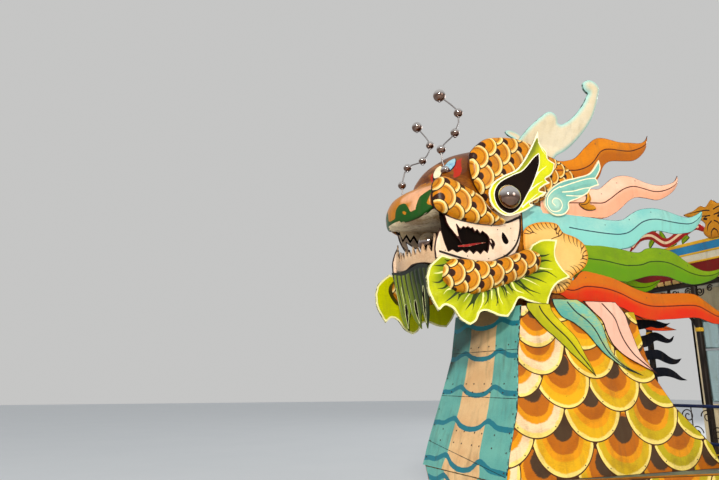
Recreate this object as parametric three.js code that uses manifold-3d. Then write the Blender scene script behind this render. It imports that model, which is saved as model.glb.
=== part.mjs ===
// Dragon boat of the kind that carries visitors on a river: a flat-bottomed steel hull, a glazed cabin
// under a low hipped roof, and a tall sheet-metal dragon head and neck at the bow.
// Millimetres. +X forward, +Y to port, +Z up. The origin is amidships on the centreline at the waterline.

import * as THREE from 'three';
import { mergeVertices } from 'three/addons/utils/BufferGeometryUtils.js';
import Module from 'manifold-3d';

const wasm = await Module();
wasm.setup();

// Driving dimensions
const GAP = 0.3; // between pieces that lie against each other
const SHEET = 18; // thickness of the painted cut-out plates
const HEAD_HALF = 440; // half width of the head between its side plates
const NECK_BASE = 900; // height where the neck stands on the bow
const NECK_TOP = 2440; // height where the head sits on the neck
const MOUTH_BACK = 4600; // forward face of the skull, behind the mouth
const DECK = 700; // height of the cabin floor
const CEILING = 3100; // height of the cabin's ceiling
const CABIN_FRONT = 200;
const CABIN_REAR = -4400;
const CABIN_HALF = 1240;
const WALL = 40;
const ROOF_FRONT = 1100;
const ROOF_REAR = -4930;
const ROOF_HALF = 1510;
const FASCIA_LOW = 3070;
const FASCIA_HIGH = 3580;
const ENGINE_BOX = { rear: -6020, front: -5260, half: 360, high: 1200, wall: 25 };
const SHAFT_Z = -200;
const SHAFT_END = -4780;
const PROPELLER_X = -5000;
const RUDDER_X = -5420;
const RUDDER_BOSS = 60; // height of the boss's underside
const HINGE_RADIUS = 8; // knuckles of the doors

const COLOURS = {
  gold: 0xd9951e, ochre: 0xc98a1b, cream: 0xf2ddb0, sky: 0x8fdcdc, teal: 0x3fa3ad, leaf: 0x7fb51c,
  lime: 0xc3d51a, red: 0xe2401a, darkRed: 0x9c1713, pink: 0xf5b9a0, brown: 0x8a4a14, ink: 0x15161d,
  steel: 0xb9bcc0, glass: 0x9fc4cc, wood: 0x8b5a2f, white: 0xf4ecdb, navy: 0x1a2547, bronze: 0xb08a3c,
};

const boat = new THREE.Group();
boat.name = 'dragon_boat';

// Solids: closed geometries that can be joined and cut

function solid(geometry) {
  const bare = geometry.index ? geometry.toNonIndexed() : geometry.clone();
  for (const name of Object.keys(bare.attributes)) if (name !== 'position') bare.deleteAttribute(name);
  const merged = mergeVertices(bare, 1e-2);
  const made = new wasm.Manifold(new wasm.Mesh({
    numProp: 3,
    vertProperties: merged.attributes.position.array,
    triVerts: new Uint32Array(merged.index.array),
  }));
  return made;
}

function geometryOf(manifold) {
  const mesh = manifold.getMesh();
  const geometry = new THREE.BufferGeometry();
  geometry.setAttribute('position', new THREE.BufferAttribute(Float32Array.from(mesh.vertProperties), 3));
  geometry.setIndex(new THREE.BufferAttribute(Uint32Array.from(mesh.triVerts), 1));
  geometry.computeVertexNormals();
  return geometry;
}

const joined = (solids) => solids.reduce((whole, next) => whole.add(next));
const moved = (shape, x, y, z) => solid(geometryOf(shape).translate(x, y, z));

// The same shape on the other side of the centreline.
function mirrored(shape) {
  const geometry = geometryOf(shape).scale(1, -1, 1);
  geometry.setIndex(Array.from(geometry.index.array).reverse());
  return solid(geometry);
}

const bothHalves = (half) => half.add(mirrored(half));

// Cuts a shape so that it rests on its neighbour with the usual gap in the direction given.
const restingOn = (shape, neighbour, x, y, z) =>
  shape.subtract(moved(neighbour, x * GAP, y * GAP, z * GAP)).subtract(neighbour);

function piece(name, manifold, colour, { roughness = 0.55, metalness = 0 } = {}) {
  const material = new THREE.MeshStandardMaterial({ color: COLOURS[colour], roughness, metalness });
  const mesh = new THREE.Mesh(geometryOf(manifold), material);
  mesh.name = name;
  boat.add(mesh);
  return manifold;
}

function block(xLow, xHigh, yLow, yHigh, zLow, zHigh) {
  const geometry = new THREE.BoxGeometry(xHigh - xLow, yHigh - yLow, zHigh - zLow);
  geometry.translate((xLow + xHigh) / 2, (yLow + yHigh) / 2, (zLow + zHigh) / 2);
  return solid(geometry);
}

// A round bar between two points.
function bar(from, to, radius, sides = 8) {
  const a = new THREE.Vector3(...from);
  const b = new THREE.Vector3(...to);
  const geometry = new THREE.CylinderGeometry(radius, radius, a.distanceTo(b), sides);
  const turn = new THREE.Quaternion().setFromUnitVectors(
    new THREE.Vector3(0, 1, 0), b.clone().sub(a).normalize());
  geometry.applyQuaternion(turn);
  geometry.translate(...a.clone().add(b).multiplyScalar(0.5).toArray());
  return solid(geometry);
}

function ball(centre, radius, wide = 12, high = 8) {
  const geometry = new THREE.SphereGeometry(radius, wide, high);
  geometry.translate(...centre);
  return solid(geometry);
}

// Sections are rings of equally many points; the loft joins them in order and closes both ends.
function loft(sections) {
  const count = sections[0].length;
  const positions = sections.flat().flatMap((p) => [p.x, p.y, p.z]);
  const faces = [];
  for (let s = 0; s + 1 < sections.length; s += 1) {
    for (let i = 0; i < count; i += 1) {
      const j = (i + 1) % count;
      const [a, b, c, d] = [s * count + i, s * count + j, (s + 1) * count + j, (s + 1) * count + i];
      faces.push(a, b, c, a, c, d);
    }
  }
  for (const [start, turned] of [[0, true], [(sections.length - 1) * count, false]]) {
    const ring = sections[start / count];
    const [u, v] = flatAxes(ring);
    const flat = ring.map((p) => new THREE.Vector2(p.dot(u), p.dot(v)));
    for (const [a, b, c] of THREE.ShapeUtils.triangulateShape(flat, [])) {
      const face = [start + a, start + b, start + c];
      faces.push(...(turned ? face.reverse() : face));
    }
  }
  const geometry = new THREE.BufferGeometry();
  geometry.setAttribute('position', new THREE.Float32BufferAttribute(positions, 3));
  geometry.setIndex(faces);
  const first = solid(geometry);
  if (first.volume() > 0) return first;
  geometry.setIndex(faces.slice().reverse());
  return solid(geometry);
}

// Two axes that span the flat ring of points.
function flatAxes(ring) {
  const normal = new THREE.Vector3();
  ring.forEach((p, i) => normal.add(p.clone().cross(ring[(i + 1) % ring.length])));
  normal.normalize();
  const side = Math.abs(normal.x) < 0.8 ? new THREE.Vector3(1, 0, 0) : new THREE.Vector3(0, 1, 0);
  const u = side.sub(normal.clone().multiplyScalar(side.dot(normal))).normalize();
  return [u, normal.clone().cross(u)];
}

// Plates drawn in side view, x forward and z up

const drawn = (points) => new THREE.Shape(points.map(([x, z]) => new THREE.Vector2(x, z)));

// A smooth closed outline through a few points.
function smooth(points, steps = 2) {
  const curve = new THREE.CatmullRomCurve3(points.map(([x, z]) => new THREE.Vector3(x, z, 0)), true);
  return curve.getPoints(points.length * steps).slice(0, -1).map((p) => [p.x, p.y]);
}

// Extent across the boat on one side: +1 is port, -1 is starboard.
const across = (side, inner, outer) => (side > 0 ? [inner, outer] : [-outer, -inner]);

function plate(outline, [yLow, yHigh]) {
  const geometry = new THREE.ExtrudeGeometry(drawn(outline), { depth: yHigh - yLow, bevelEnabled: false });
  geometry.rotateX(Math.PI / 2);
  geometry.translate(0, yHigh, 0);
  return solid(geometry);
}

const ROLL_TOP = Math.sqrt(1 - 0.35 ** 2); // a roll's faceted top, as a share of its crown

// A padded roll with a flat back at `inner`, straight sides to `shoulder` and a rounded front above it.
// Columns of each row along its middle: x, z, width.
function roll(rows, side, inner, shoulder, crown, steps = 2) {
  const curve = new THREE.CatmullRomCurve3(rows.map(([x, z, width]) => new THREE.Vector3(x, z, width)));
  const points = curve.getPoints((rows.length - 1) * steps);
  const widest = Math.max(...points.map((p) => p.z));
  return loft(points.map((p, i) => {
    const before = points[Math.max(i - 1, 0)];
    const after = points[Math.min(i + 1, points.length - 1)];
    const along = new THREE.Vector2(after.x - before.x, after.y - before.y).normalize();
    const rise = crown * Math.sqrt(Math.min(1, p.z / widest));
    const ring = [[-1, inner], [-1, shoulder], ...[-0.75, -0.35, 0.35, 0.75].map((share) =>
      [share, shoulder + rise * Math.sqrt(1 - share ** 2)]), [1, shoulder], [1, inner]];
    return ring.map(([share, y]) => {
      const reach = (share * p.z) / 2;
      return new THREE.Vector3(p.x - along.y * reach, side * y, p.y + along.x * reach);
    });
  }));
}

// A wavy flame tongue: rows of centre x, centre z and width, from the root to the pointed tip.
function tongueOutline(rows, steps = 2) {
  const curve = new THREE.CatmullRomCurve3(rows.map(([x, z, width]) => new THREE.Vector3(x, z, width)));
  const points = curve.getPoints((rows.length - 1) * steps);
  const edges = [[], []];
  points.forEach((p, i) => {
    const before = points[Math.max(i - 1, 0)];
    const after = points[Math.min(i + 1, points.length - 1)];
    const along = new THREE.Vector2(after.x - before.x, after.y - before.y).normalize();
    const half = Math.max(p.z, 0) / 2;
    edges[0].push([p.x - along.y * half, p.y + along.x * half]);
    edges[1].push([p.x + along.y * half, p.y - along.x * half]);
  });
  return [...edges[0], ...edges[1].slice(0, -1).reverse()];
}

// Teeth between two points of a lip; `bite` is how far they stand out.
function teeth([x0, z0], [x1, z1], count, bite) {
  const points = [];
  for (let i = 0; i < count; i += 1) {
    const share = (i + 0.5) / count;
    points.push([x0 + (x1 - x0) * (i / count), z0 + (z1 - z0) * (i / count)]);
    points.push([x0 + (x1 - x0) * share, z0 + (z1 - z0) * share + bite]);
  }
  points.push([x1, z1]);
  return points;
}

// Hull

// Columns: x, keel height, chine half width, chine height, sheer half width, sheer height.
const HULL_LINES = [
  [-6200, 160, 880, 200, 1120, 800],
  [-5700, 110, 980, 150, 1260, 760],
  [-4720, 30, 1120, 70, 1400, 700],
  [-4250, -380, 1120, -300, 1450, 700],
  [-2500, -400, 1180, -320, 1500, 700],
  [0, -400, 1180, -320, 1500, 700],
  [1100, -400, 1070, -320, 1390, 700],
  [1700, -390, 960, -300, 1240, 780],
  [2450, -370, 820, -270, 1020, NECK_BASE - GAP],
  [3400, -300, 700, -180, 860, NECK_BASE - GAP],
  [4200, -130, 610, -10, 760, NECK_BASE - GAP],
  [4700, 110, 570, 210, 710, NECK_BASE - GAP],
  [5000, 420, 560, 470, 690, NECK_BASE - GAP],
  [5100, 640, 580, 680, 685, NECK_BASE - GAP],
];

function hullSection([x, keel, chineHalf, chine, sheerHalf, sheer]) {
  const ring = [[0, keel], [chineHalf, chine], [sheerHalf, sheer], [0, sheer]];
  return ring.map(([y, z]) => new THREE.Vector3(x, y, z));
}

// The hull with its keel bar and the bosses of the propeller's shaft and the rudder's stock.
const keelBar = block(-4150, 3000, -30, 30, -470, -300);
const shaftBoss = bar([SHAFT_END, 0, SHAFT_Z], [-4200, 0, SHAFT_Z], 42, 12);
const rudderBoss = bar([RUDDER_X, 0, RUDDER_BOSS], [RUDDER_X, 0, 150], 55, 12);
const hull = joined([bothHalves(loft(HULL_LINES.map(hullSection))), keelBar, shaftBoss, rudderBoss]);
piece('hull', hull, 'ochre', { roughness: 0.6 });

// Height and half width of the sheer at x, read off the hull's lines.
function sheerAt(x) {
  const after = Math.max(1, HULL_LINES.findIndex((line) => line[0] >= x));
  const [low, high] = [HULL_LINES[after - 1], HULL_LINES[after]];
  const share = (x - low[0]) / (high[0] - low[0]);
  return { half: low[4] + (high[4] - low[4]) * share, z: low[5] + (high[5] - low[5]) * share };
}

// The light blue rubbing strake that caps the sheer on each side.
const STRAKE = { out: 70, low: -90, high: 60, rear: -6200, front: 2450 };

function strake() {
  const stations = HULL_LINES.map((line) => line[0]).filter((x) => x >= STRAKE.rear && x <= STRAKE.front);
  const whole = loft(stations.map((x) => {
    const { half, z } = sheerAt(x);
    const ring = [
      [half - 60, z + STRAKE.low], [half + STRAKE.out, z + STRAKE.low],
      [half + STRAKE.out, z + STRAKE.high], [half - 60, z + STRAKE.high],
    ];
    return ring.map(([y, height]) => new THREE.Vector3(x, y, height));
  }));
  return restingOn(restingOn(whole, hull, 0, 1, 0), hull, 0, 0, 1);
}

// Neck

// Columns: z, front x, rear x, half width.
const NECK_LINES = [
  [NECK_BASE, 5100, 2490, 700],
  [1120, 5040, 2570, 685],
  [1500, 4910, 3000, 660],
  [1770, 4840, 3150, 606],
  [2000, 4790, 3200, 560],
  [NECK_TOP - GAP, 4720, 3300, 560],
];
const SKIN = 12; // thickness of the plates that clad the neck

// The rear edge of the neck at a height.
function neckRearAt(height) {
  const above = Math.max(1, NECK_LINES.findIndex(([z]) => z >= height));
  const [low, high] = [NECK_LINES[above - 1], NECK_LINES[above]];
  return low[2] + ((high[2] - low[2]) * (height - low[0])) / (high[0] - low[0]);
}

// One side of the neck, from `inner` to `outer` of its side face, or from the centreline where inner is null.
const neckSide = (inner, outer) => loft(NECK_LINES.map(([z, front, rear, half]) => [
  [front, half + outer], [rear, half + outer],
  [rear, inner === null ? 0 : half + inner], [front, inner === null ? 0 : half + inner],
].map(([x, y]) => new THREE.Vector3(x, y, z))));

const neck = bothHalves(neckSide(null, 0));
piece('neck', neck, 'gold');

const chestPlate = bothHalves(loft(NECK_LINES.map(([z, front, , neckHalf]) => {
  const half = neckHalf + SKIN + GAP * 2;
  return [[front + GAP * 2, half], [front + GAP * 2, 0], [front + SKIN, 0], [front + SKIN, half]]
    .map(([x, y]) => new THREE.Vector3(x, y, z));
})));
piece('chest_plate', chestPlate, 'teal');

// Dark flame fins down the back of the neck, on a strip that follows its rear edge.
// Columns of each row: x, z, width.
const BACK_FINS = [
  [[3200, 2330, 150], [2820, 2350, 130], [2420, 2400, 100], [2080, 2450, 0]],
  [[3160, 2120, 150], [2820, 2180, 130], [2420, 2240, 100], [2110, 2270, 0]],
  [[3120, 1960, 150], [2760, 2010, 130], [2380, 2060, 100], [2020, 2000, 0]],
  [[3080, 1770, 140], [2740, 1830, 130], [2320, 1860, 100], [1950, 1760, 0]],
];
const finStripHeights = [NECK_TOP - 20, 2000, 1850, 1700];
const finStrip = [
  ...finStripHeights.map((z) => [neckRearAt(z) - GAP, z]),
  ...finStripHeights.slice().reverse().map((z) => [neckRearAt(z) - 90, z]),
];
const backFins = joined([finStrip, ...BACK_FINS.map((rows) => tongueOutline(rows))]
  .map((outline) => plate(outline, [-15, 15])));
piece('back_fins', restingOn(backFins, neck, -1, 0, 0), 'ink');

// Head

// How far along the bulge across the head a point lies: 1 on the centreline, 0 at the side plates.
const bulge = (y) => 1 - (y / HEAD_HALF) ** 2;
const ACROSS_HEAD = [-1, -0.72, -0.36, 0, 0.36, 0.72, 1].map((share) => share * HEAD_HALF);

// Lofts a side-view profile across the head. Columns: x, x added at the centreline, z, z added there.
function acrossHead(profile, stations = ACROSS_HEAD) {
  return loft(stations.map((y) => profile.map(([x, addX, z, addZ]) =>
    new THREE.Vector3(x + addX * bulge(y), y, z + addZ * bulge(y)))));
}

const skull = acrossHead([
  [MOUTH_BACK - GAP, 0, NECK_TOP, 0], [MOUTH_BACK - GAP, 0, 4050, 180], [4350, 0, 4060, 180], [4120, 0, 3980, 120],
  [3960, 0, 3760, 60], [3900, 0, 3250, 0], [3930, 0, NECK_TOP, 0],
]);
piece('skull', skull, 'gold');

const snout = acrossHead([
  [MOUTH_BACK, 0, 3360, 0], [5500, 100, 3360, -100], [5580, 180, 3360, -110], [5590, 200, 3440, -60],
  [5570, 180, 3510, -10], [5500, 170, 3575, 0], [5360, 110, 3645, 40], [5240, 130, 3710, 170],
  [5100, 130, 3780, 210], [4950, 100, 3870, 220], [MOUTH_BACK, 0, 4050, 180],
]);
piece('snout', snout, 'ochre');

const lowerJaw = acrossHead([
  [MOUTH_BACK, 0, 2620, 0], [5400, 90, 2660, 0], [5520, 100, 2780, 0], [5520, 100, 2900, 0],
  [MOUTH_BACK, 0, 2900, 0],
]);
const FRONT_TEETH = 9;
const frontTeeth = Array.from({ length: FRONT_TEETH }, (unused, i) => {
  const width = (2 * HEAD_HALF) / FRONT_TEETH;
  const y = -HEAD_HALF + width * (i + 0.5);
  const x = 5500 + 100 * bulge(y);
  const ring = [[-width / 2, 2880], [width / 2, 2880], [width / 2, 2925], [0, 3010], [-width / 2, 2925]];
  return loft([x - 20, x].map((at) => ring.map(([dy, z]) => new THREE.Vector3(at, y + dy, z))));
});
const tongueProfile = [[4650, 2890], [5160, 2890], [5240, 2960], [5200, 3000], [5080, 2950], [4650, 2960]];
piece('lower_jaw', joined([lowerJaw, plate(tongueProfile, [-150, 150]), ...frontTeeth]), 'cream');

// Side plate with the white lips, fangs and teeth around the mouth's opening.
const upperLip = [[5580, 3330], [5520, 3310], [5450, 3270], [5400, 3160], [5280, 3020], [5310, 3120]];
const lowerLip = [[5400, 2940], [5440, 2940], [5480, 3040], [5510, 3150], [5550, 2960], [5560, 2800]];
const mouthOutline = [
  [5590, 3480], ...upperLip, ...teeth([5320, 3190], [4960, 3150], 6, -55),
  [4930, 3010], [4900, 3090], [4860, 3060], [4880, 2990], [4940, 3040], [4960, 2950],
  ...teeth([4990, 2950], [5390, 2930], 7, 45), ...lowerLip,
  [4900, 2790], [4770, 2840], [4660, 2960], [4590, 3120], [4565, 3330], [4565, 3480],
];

const pearlStand = bar([5350, -40, 2900 + GAP], [5350, -40, 3050], 18);
piece('pearl', ball([5350, -40, 3120], 108, 16, 10).add(pearlStand), 'steel', { roughness: 0.12, metalness: 1 });

// Beard of long pointed leaves that hang from the lower lip, drawn across the boat.
const BEARD = { x: 5620 + GAP, top: 2870, low: 2200, half: 430, leaves: 5 };

function beardOutline() {
  const width = (2 * BEARD.half) / BEARD.leaves;
  const edge = [[-BEARD.half, BEARD.top]];
  for (let i = 0; i < BEARD.leaves; i += 1) {
    const left = -BEARD.half + i * width;
    edge.push([left + width * 0.1, 2520], [left + width * 0.55, BEARD.low], [left + width * 0.8, 2420]);
    if (i + 1 < BEARD.leaves) edge.push([left + width, 2600]);
  }
  return [...edge, [BEARD.half, 2540], [BEARD.half, BEARD.top]];
}

const beardSections = [BEARD.x, BEARD.x + SHEET].map((x) =>
  beardOutline().map(([y, z]) => new THREE.Vector3(x, y, z)));
piece('beard', loft(beardSections), 'leaf');

// Plates and pads of one side of the head, from the inside out.
const PLATE_1 = HEAD_HALF + GAP; // against the skull
const PLATE_2 = PLATE_1 + SHEET + GAP; // against the first plate
const FRILL_Y = 540;

// Scaly rolls of the head. Columns of each row: x, z, width.
const CHEEK = [[5600, 3455, 90], [5540, 3460, 310], [5400, 3445, 400], [5200, 3400, 330], [5020, 3340, 190],
  [4880, 3340, 150], [4820, 3450, 110]];
const BROW = [[4810, 3430, 200], [4800, 3560, 480], [4790, 3760, 640], [4770, 3950, 660], [4730, 4100, 520],
  [4710, 4190, 160]];
const JAW = [[5560, 2700, 90], [5480, 2690, 280], [5250, 2680, 330], [4980, 2725, 260], [4720, 2815, 250],
  [4530, 2900, 230], [4460, 2940, 80]];
const frillOutline = [[5570, 2870], [5680, 2780], [5710, 2660], [5690, 2520], [5600, 2365], [5530, 2400],
  [5450, 2375], [5300, 2230], [5200, 2350], [5040, 2345], [4870, 2320], [4750, 2480], [4600, 2460], [4440, 2450],
  [4370, 2640], [4180, 2690], [4080, 2760], [4170, 2810], [4260, 2940], [4250, 3130], [4400, 3100], [4530, 3050],
  [4640, 2890], [5000, 2760]];
const fanOutline = smooth([[4500, 3240], [4330, 3320], [4110, 3310], [3900, 3200], [3770, 3080], [3760, 2960],
  [3900, 2840], [4200, 2620], [4400, 2640]]);
const flameOutline = [[4350, 4290], [4510, 4000], [4650, 3830], [4870, 3690], [4980, 3610], [5010, 3520],
  [4985, 3410], [4910, 3330], [4810, 3300], [4700, 3320], [4540, 3400], [4430, 3460], [4500, 3480], [4310, 3610],
  [4380, 3620], [4230, 3750], [4300, 3750], [4160, 3960], [4280, 3890], [4290, 4080]];
const earOutline = smooth([[4270, 3550], [4210, 3650], [4060, 3770], [3680, 3930], [3490, 4120], [3550, 3870],
  [3790, 3620], [3930, 3570], [3950, 3490], [4040, 3430], [4170, 3410], [4250, 3470]]);
const hornOutline = smooth([[4520, 4200], [4320, 4440], [4220, 4510], [4110, 4480], [4060, 4430], [3930, 4480],
  [3810, 4620], [3720, 4790], [3810, 4840], [3800, 4900], [3700, 4910], [3600, 4810], [3580, 4690], [3700, 4460],
  [3870, 4260], [4020, 4100], [4120, 3990], [4350, 3980]]);

// Tongues of the mane. Columns of each row: x, z, width.
const MANE = [
  [[4300, 3860, 240], [3720, 4010, 290], [3420, 4210, 300], [3130, 4270, 240], [2820, 4330, 170], [2650, 4560, 0]],
  [[4300, 3560, 240], [3500, 3640, 320], [3180, 3790, 330], [2850, 3865, 210], [2430, 3900, 170], [2240, 4120, 0]],
  [[4480, 3400, 280], [3900, 3320, 330], [3400, 3290, 340], [3050, 3390, 330], [2640, 3530, 260], [2130, 3530, 170],
    [1900, 3730, 0]],
  [[4300, 3000, 280], [3700, 2990, 290], [3200, 2960, 330], [2700, 3040, 320], [2300, 2950, 230], [1950, 2905, 130],
    [1640, 3080, 0]],
  [[4300, 2740, 200], [3800, 2690, 320], [3350, 2640, 290], [2900, 2540, 290], [2400, 2570, 270], [2000, 2480, 200],
    [1480, 2460, 0]],
];
const maneRoot = [[4540, 2640], [4540, 3340], [4400, 3980], [4150, 3980], [3980, 3700], [3920, 3250], [3950, 2640]];

// Locks that sweep down over the side of the neck. Columns of each row: x, z, width.
const LOCKS = [
  [[4480, 2560, 280], [4380, 2370, 290], [4200, 2180, 210], [4050, 2000, 130], [3930, 1790, 0]],
  [[4160, 2600, 340], [4050, 2400, 330], [3850, 2190, 240], [3620, 1960, 130], [3320, 1800, 0]],
  [[3800, 2600, 380], [3660, 2420, 320], [3480, 2210, 220], [3320, 2000, 120], [3130, 1820, 0]],
];
const LOCK_Y = 560 + SKIN + GAP * 3;

// Leans a plate out by a share of its height above `start`, or below it where the share is negative.
function leaning(shape, start, share) {
  const geometry = geometryOf(shape);
  const position = geometry.attributes.position;
  for (let i = 0; i < position.count; i += 1) {
    position.setY(i, position.getY(i) + Math.max(0, (position.getZ(i) - start) * share));
  }
  return solid(geometry);
}

const HORN_BEND = 4200; // the horns lean outward above this height

const lockRoot = [[4560, 2460], [4560, 2600], [3640, 2600], [3640, 2460]];

// Knobbed feelers on the snout. Columns of each row: x, y away from the centreline, z, ball radius.
const FEELERS = {
  port: [[5330, 300, 3790, 48], [5370, 300, 4010, 46], [5200, 300, 4220, 46], [5150, 300, 4450, 48],
    [5370, 300, 4600, 64]],
  starboard: [[5510, 300, 3800, 44], [5440, 300, 4010, 44], [5250, 300, 4120, 44], [5150, 300, 4320, 46],
    [5310, 300, 4510, 58]],
};

function feeler(side, rows) {
  const centres = rows.map(([x, y, z]) => new THREE.Vector3(x, side * y, z));
  const foot = centres[0].clone().add(new THREE.Vector3(-30, 0, -260));
  const path = new THREE.CatmullRomCurve3([foot, ...centres]);
  const wire = new THREE.Shape(Array.from({ length: 5 }, (unused, i) =>
    new THREE.Vector2(9 * Math.cos((i * 2 * Math.PI) / 5), 9 * Math.sin((i * 2 * Math.PI) / 5))));
  const stem = solid(new THREE.ExtrudeGeometry(wire, { steps: 16, bevelEnabled: false, extrudePath: path }));
  const knobs = rows.map(([x, y, z, radius]) => ball([x, side * y, z], radius, 8, 6));
  return restingOn(joined([stem, ...knobs]), snout, 0, 0, 1);
}

const SHINY = { roughness: 0.12, metalness: 1 };
const EYE_Y = PLATE_2 + 10 + 80 * ROLL_TOP + GAP; // against the brow's roll
const sideLayer = (outlines, inner, outer) => outlines.map((outline) => plate(outline, [inner, outer]));

// The jaw's roll, and the room that the plates around it leave for it.
const jawRoll = roll(JAW, 1, PLATE_2, FRILL_Y, 90);
const jawRoom = roll(JAW.map(([x, z, width]) => [5000 + (x - 5000) * 1.001, z, width + 0.8]), 1, PLATE_2 - 10,
  FRILL_Y + GAP, 90.3);
const eyeBall = ball([4790, EYE_Y + SHEET + 10, 3500], 122, 14, 8)
  .subtract(block(4600, 5000, EYE_Y - 200, EYE_Y + SHEET - 2, 3300, 3700));
const hornPlate = plate(hornOutline, [370, 425]);
const hornFoot = hornPlate.intersect(block(3000, 5000, 0, 900, 3000, HORN_BEND));
const hornBlade = hornPlate.intersect(block(3000, 5000, 0, 900, HORN_BEND, 5000));

// Name, shape on the port side, colour and finish.
const HEAD_PAIRS = [
  ['mouth_plate', plate(mouthOutline, [PLATE_1, PLATE_1 + SHEET]), 'white'],
  ['brow', roll(CHEEK, 1, PLATE_2, PLATE_2 + 20, 90).add(roll(BROW, 1, PLATE_2, PLATE_2 + 10, 80)), 'gold'],
  ['jaw_roll', jawRoll, 'gold'],
  ['frill', plate(frillOutline, [FRILL_Y, FRILL_Y + SHEET]).subtract(jawRoom), 'lime'],
  ['eye', plate(flameOutline, [EYE_Y, EYE_Y + SHEET]).add(eyeBall), 'lime'],
  ['horn', restingOn(hornFoot.add(leaning(hornBlade, HORN_BEND, 0.45)), skull, 0, 0, 1), 'cream'],
  ['mane', joined([
    ...sideLayer([maneRoot, ...MANE.map((rows) => tongueOutline(rows))], PLATE_1, PLATE_1 + SHEET),
    ...sideLayer([earOutline, fanOutline], PLATE_1 + SHEET - 1, PLATE_1 + SHEET * 2),
  ]).subtract(jawRoom), 'sky'],
  ['locks', leaning(
    joined(sideLayer([lockRoot, ...LOCKS.map((rows) => tongueOutline(rows))], LOCK_Y, LOCK_Y + SHEET)), 2000, -0.21), 'teal'],
  ['neck_scales', neckSide(GAP * 2, GAP * 2 + SKIN), 'gold'],
  ['strake', strake(), 'sky'],
];
for (const [name, shape, colour, finish] of HEAD_PAIRS) {
  piece(`${name}_port`, shape, colour, finish);
  piece(`${name}_starboard`, mirrored(shape), colour, finish);
}
piece('feeler_port', feeler(1, FEELERS.port), 'steel', SHINY);
piece('feeler_starboard', feeler(-1, FEELERS.starboard), 'steel', SHINY);

// Cabin

const WINDOWS = { count: 5, first: -4200, pitch: 860, wide: 780, low: 1450, high: 2680 };
const wallTop = CEILING - GAP;
const floorTop = DECK + GAP;

function cabinSide(side, name) {
  const [yLow, yHigh] = across(side, CABIN_HALF - WALL, CABIN_HALF);
  let wall = block(CABIN_REAR + WALL + GAP, CABIN_FRONT - WALL - GAP, yLow, yHigh, floorTop, wallTop);
  for (let i = 0; i < WINDOWS.count; i += 1) {
    const x = WINDOWS.first + i * WINDOWS.pitch;
    wall = wall.subtract(block(x, x + WINDOWS.wide, yLow - 5, yHigh + 5, WINDOWS.low, WINDOWS.high));
  }
  piece(`cabin_wall_${name}`, wall, 'cream');
  const [glassLow, glassHigh] = across(side, CABIN_HALF - WALL - 6 - GAP, CABIN_HALF - WALL - GAP);
  const glassEnd = WINDOWS.first + (WINDOWS.count - 1) * WINDOWS.pitch + WINDOWS.wide + 20;
  piece(`glass_${name}`, block(WINDOWS.first - 20, glassEnd, glassLow, glassHigh, WINDOWS.low - 20, WINDOWS.high + 20),
    'glass', { roughness: 0.05 });

  // A long bench along the wall: seat, back and three pairs of legs.
  const bench = { rear: -4100, front: -1000, seat: 1150, depth: 420 };
  const back = CABIN_HALF - WALL - 30;
  const [seatLow, seatHigh] = across(side, back - bench.depth, back);
  const [backLow, backHigh] = across(side, back - 35, back);
  const legs = [bench.rear + 60, (bench.rear + bench.front) / 2, bench.front - 110].map((x) =>
    block(x, x + 50, seatLow + 15, seatHigh - 15, floorTop, bench.seat - 30));
  piece(`bench_${name}`, joined([
    block(bench.rear, bench.front, seatLow, seatHigh, bench.seat - 40, bench.seat),
    block(bench.rear, bench.front, backLow, backHigh, bench.seat - 10, bench.seat + 250), ...legs,
  ]), 'wood', { roughness: 0.5 });
}

cabinSide(1, 'port');
cabinSide(-1, 'starboard');

const DOOR = { half: 550, low: 740, high: 2660, thick: 35, edge: 6 };
const frontWall = block(CABIN_FRONT - WALL, CABIN_FRONT, -CABIN_HALF, CABIN_HALF, floorTop, wallTop)
  .subtract(block(CABIN_FRONT - 60, CABIN_FRONT + 20, -DOOR.half, DOOR.half, DOOR.low, DOOR.high));
const frontLights = [-1, 1].map((side) => {
  const [yLow, yHigh] = across(side, 680, 1130);
  return block(CABIN_FRONT - 60, CABIN_FRONT + 20, yLow, yHigh, WINDOWS.low, WINDOWS.high);
});
piece('cabin_front', frontLights.reduce((wall, light) => wall.subtract(light), frontWall), 'cream');

const REAR_DOOR = { outer: -950, inner: -300 };
const rearWall = block(CABIN_REAR, CABIN_REAR + WALL, -CABIN_HALF, CABIN_HALF, floorTop, wallTop)
  .subtract(block(CABIN_REAR - 20, CABIN_REAR + 60, REAR_DOOR.outer, REAR_DOOR.inner, DOOR.low, DOOR.high))
  .subtract(block(CABIN_REAR - 20, CABIN_REAR + 60, 100, 1000, WINDOWS.low, WINDOWS.high));
piece('cabin_rear', rearWall, 'cream');
piece('glass_rear', block(CABIN_REAR + WALL + GAP, CABIN_REAR + WALL + GAP + 6, 80, 1020, WINDOWS.low - 20,
  WINDOWS.high + 20), 'glass', { roughness: 0.05 });
// The front panes are one sheet that passes over the doorway.
const frontGlass = [CABIN_FRONT - WALL - GAP - 6, CABIN_FRONT - WALL - GAP];
piece('glass_front', block(...frontGlass, -1150, 1150, WINDOWS.low - 20, 2760)
  .subtract(block(frontGlass[0] - 5, frontGlass[1] + 5, -DOOR.half - 20, DOOR.half + 20, WINDOWS.low - 30, 2690)),
'glass', { roughness: 0.05 });

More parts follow.
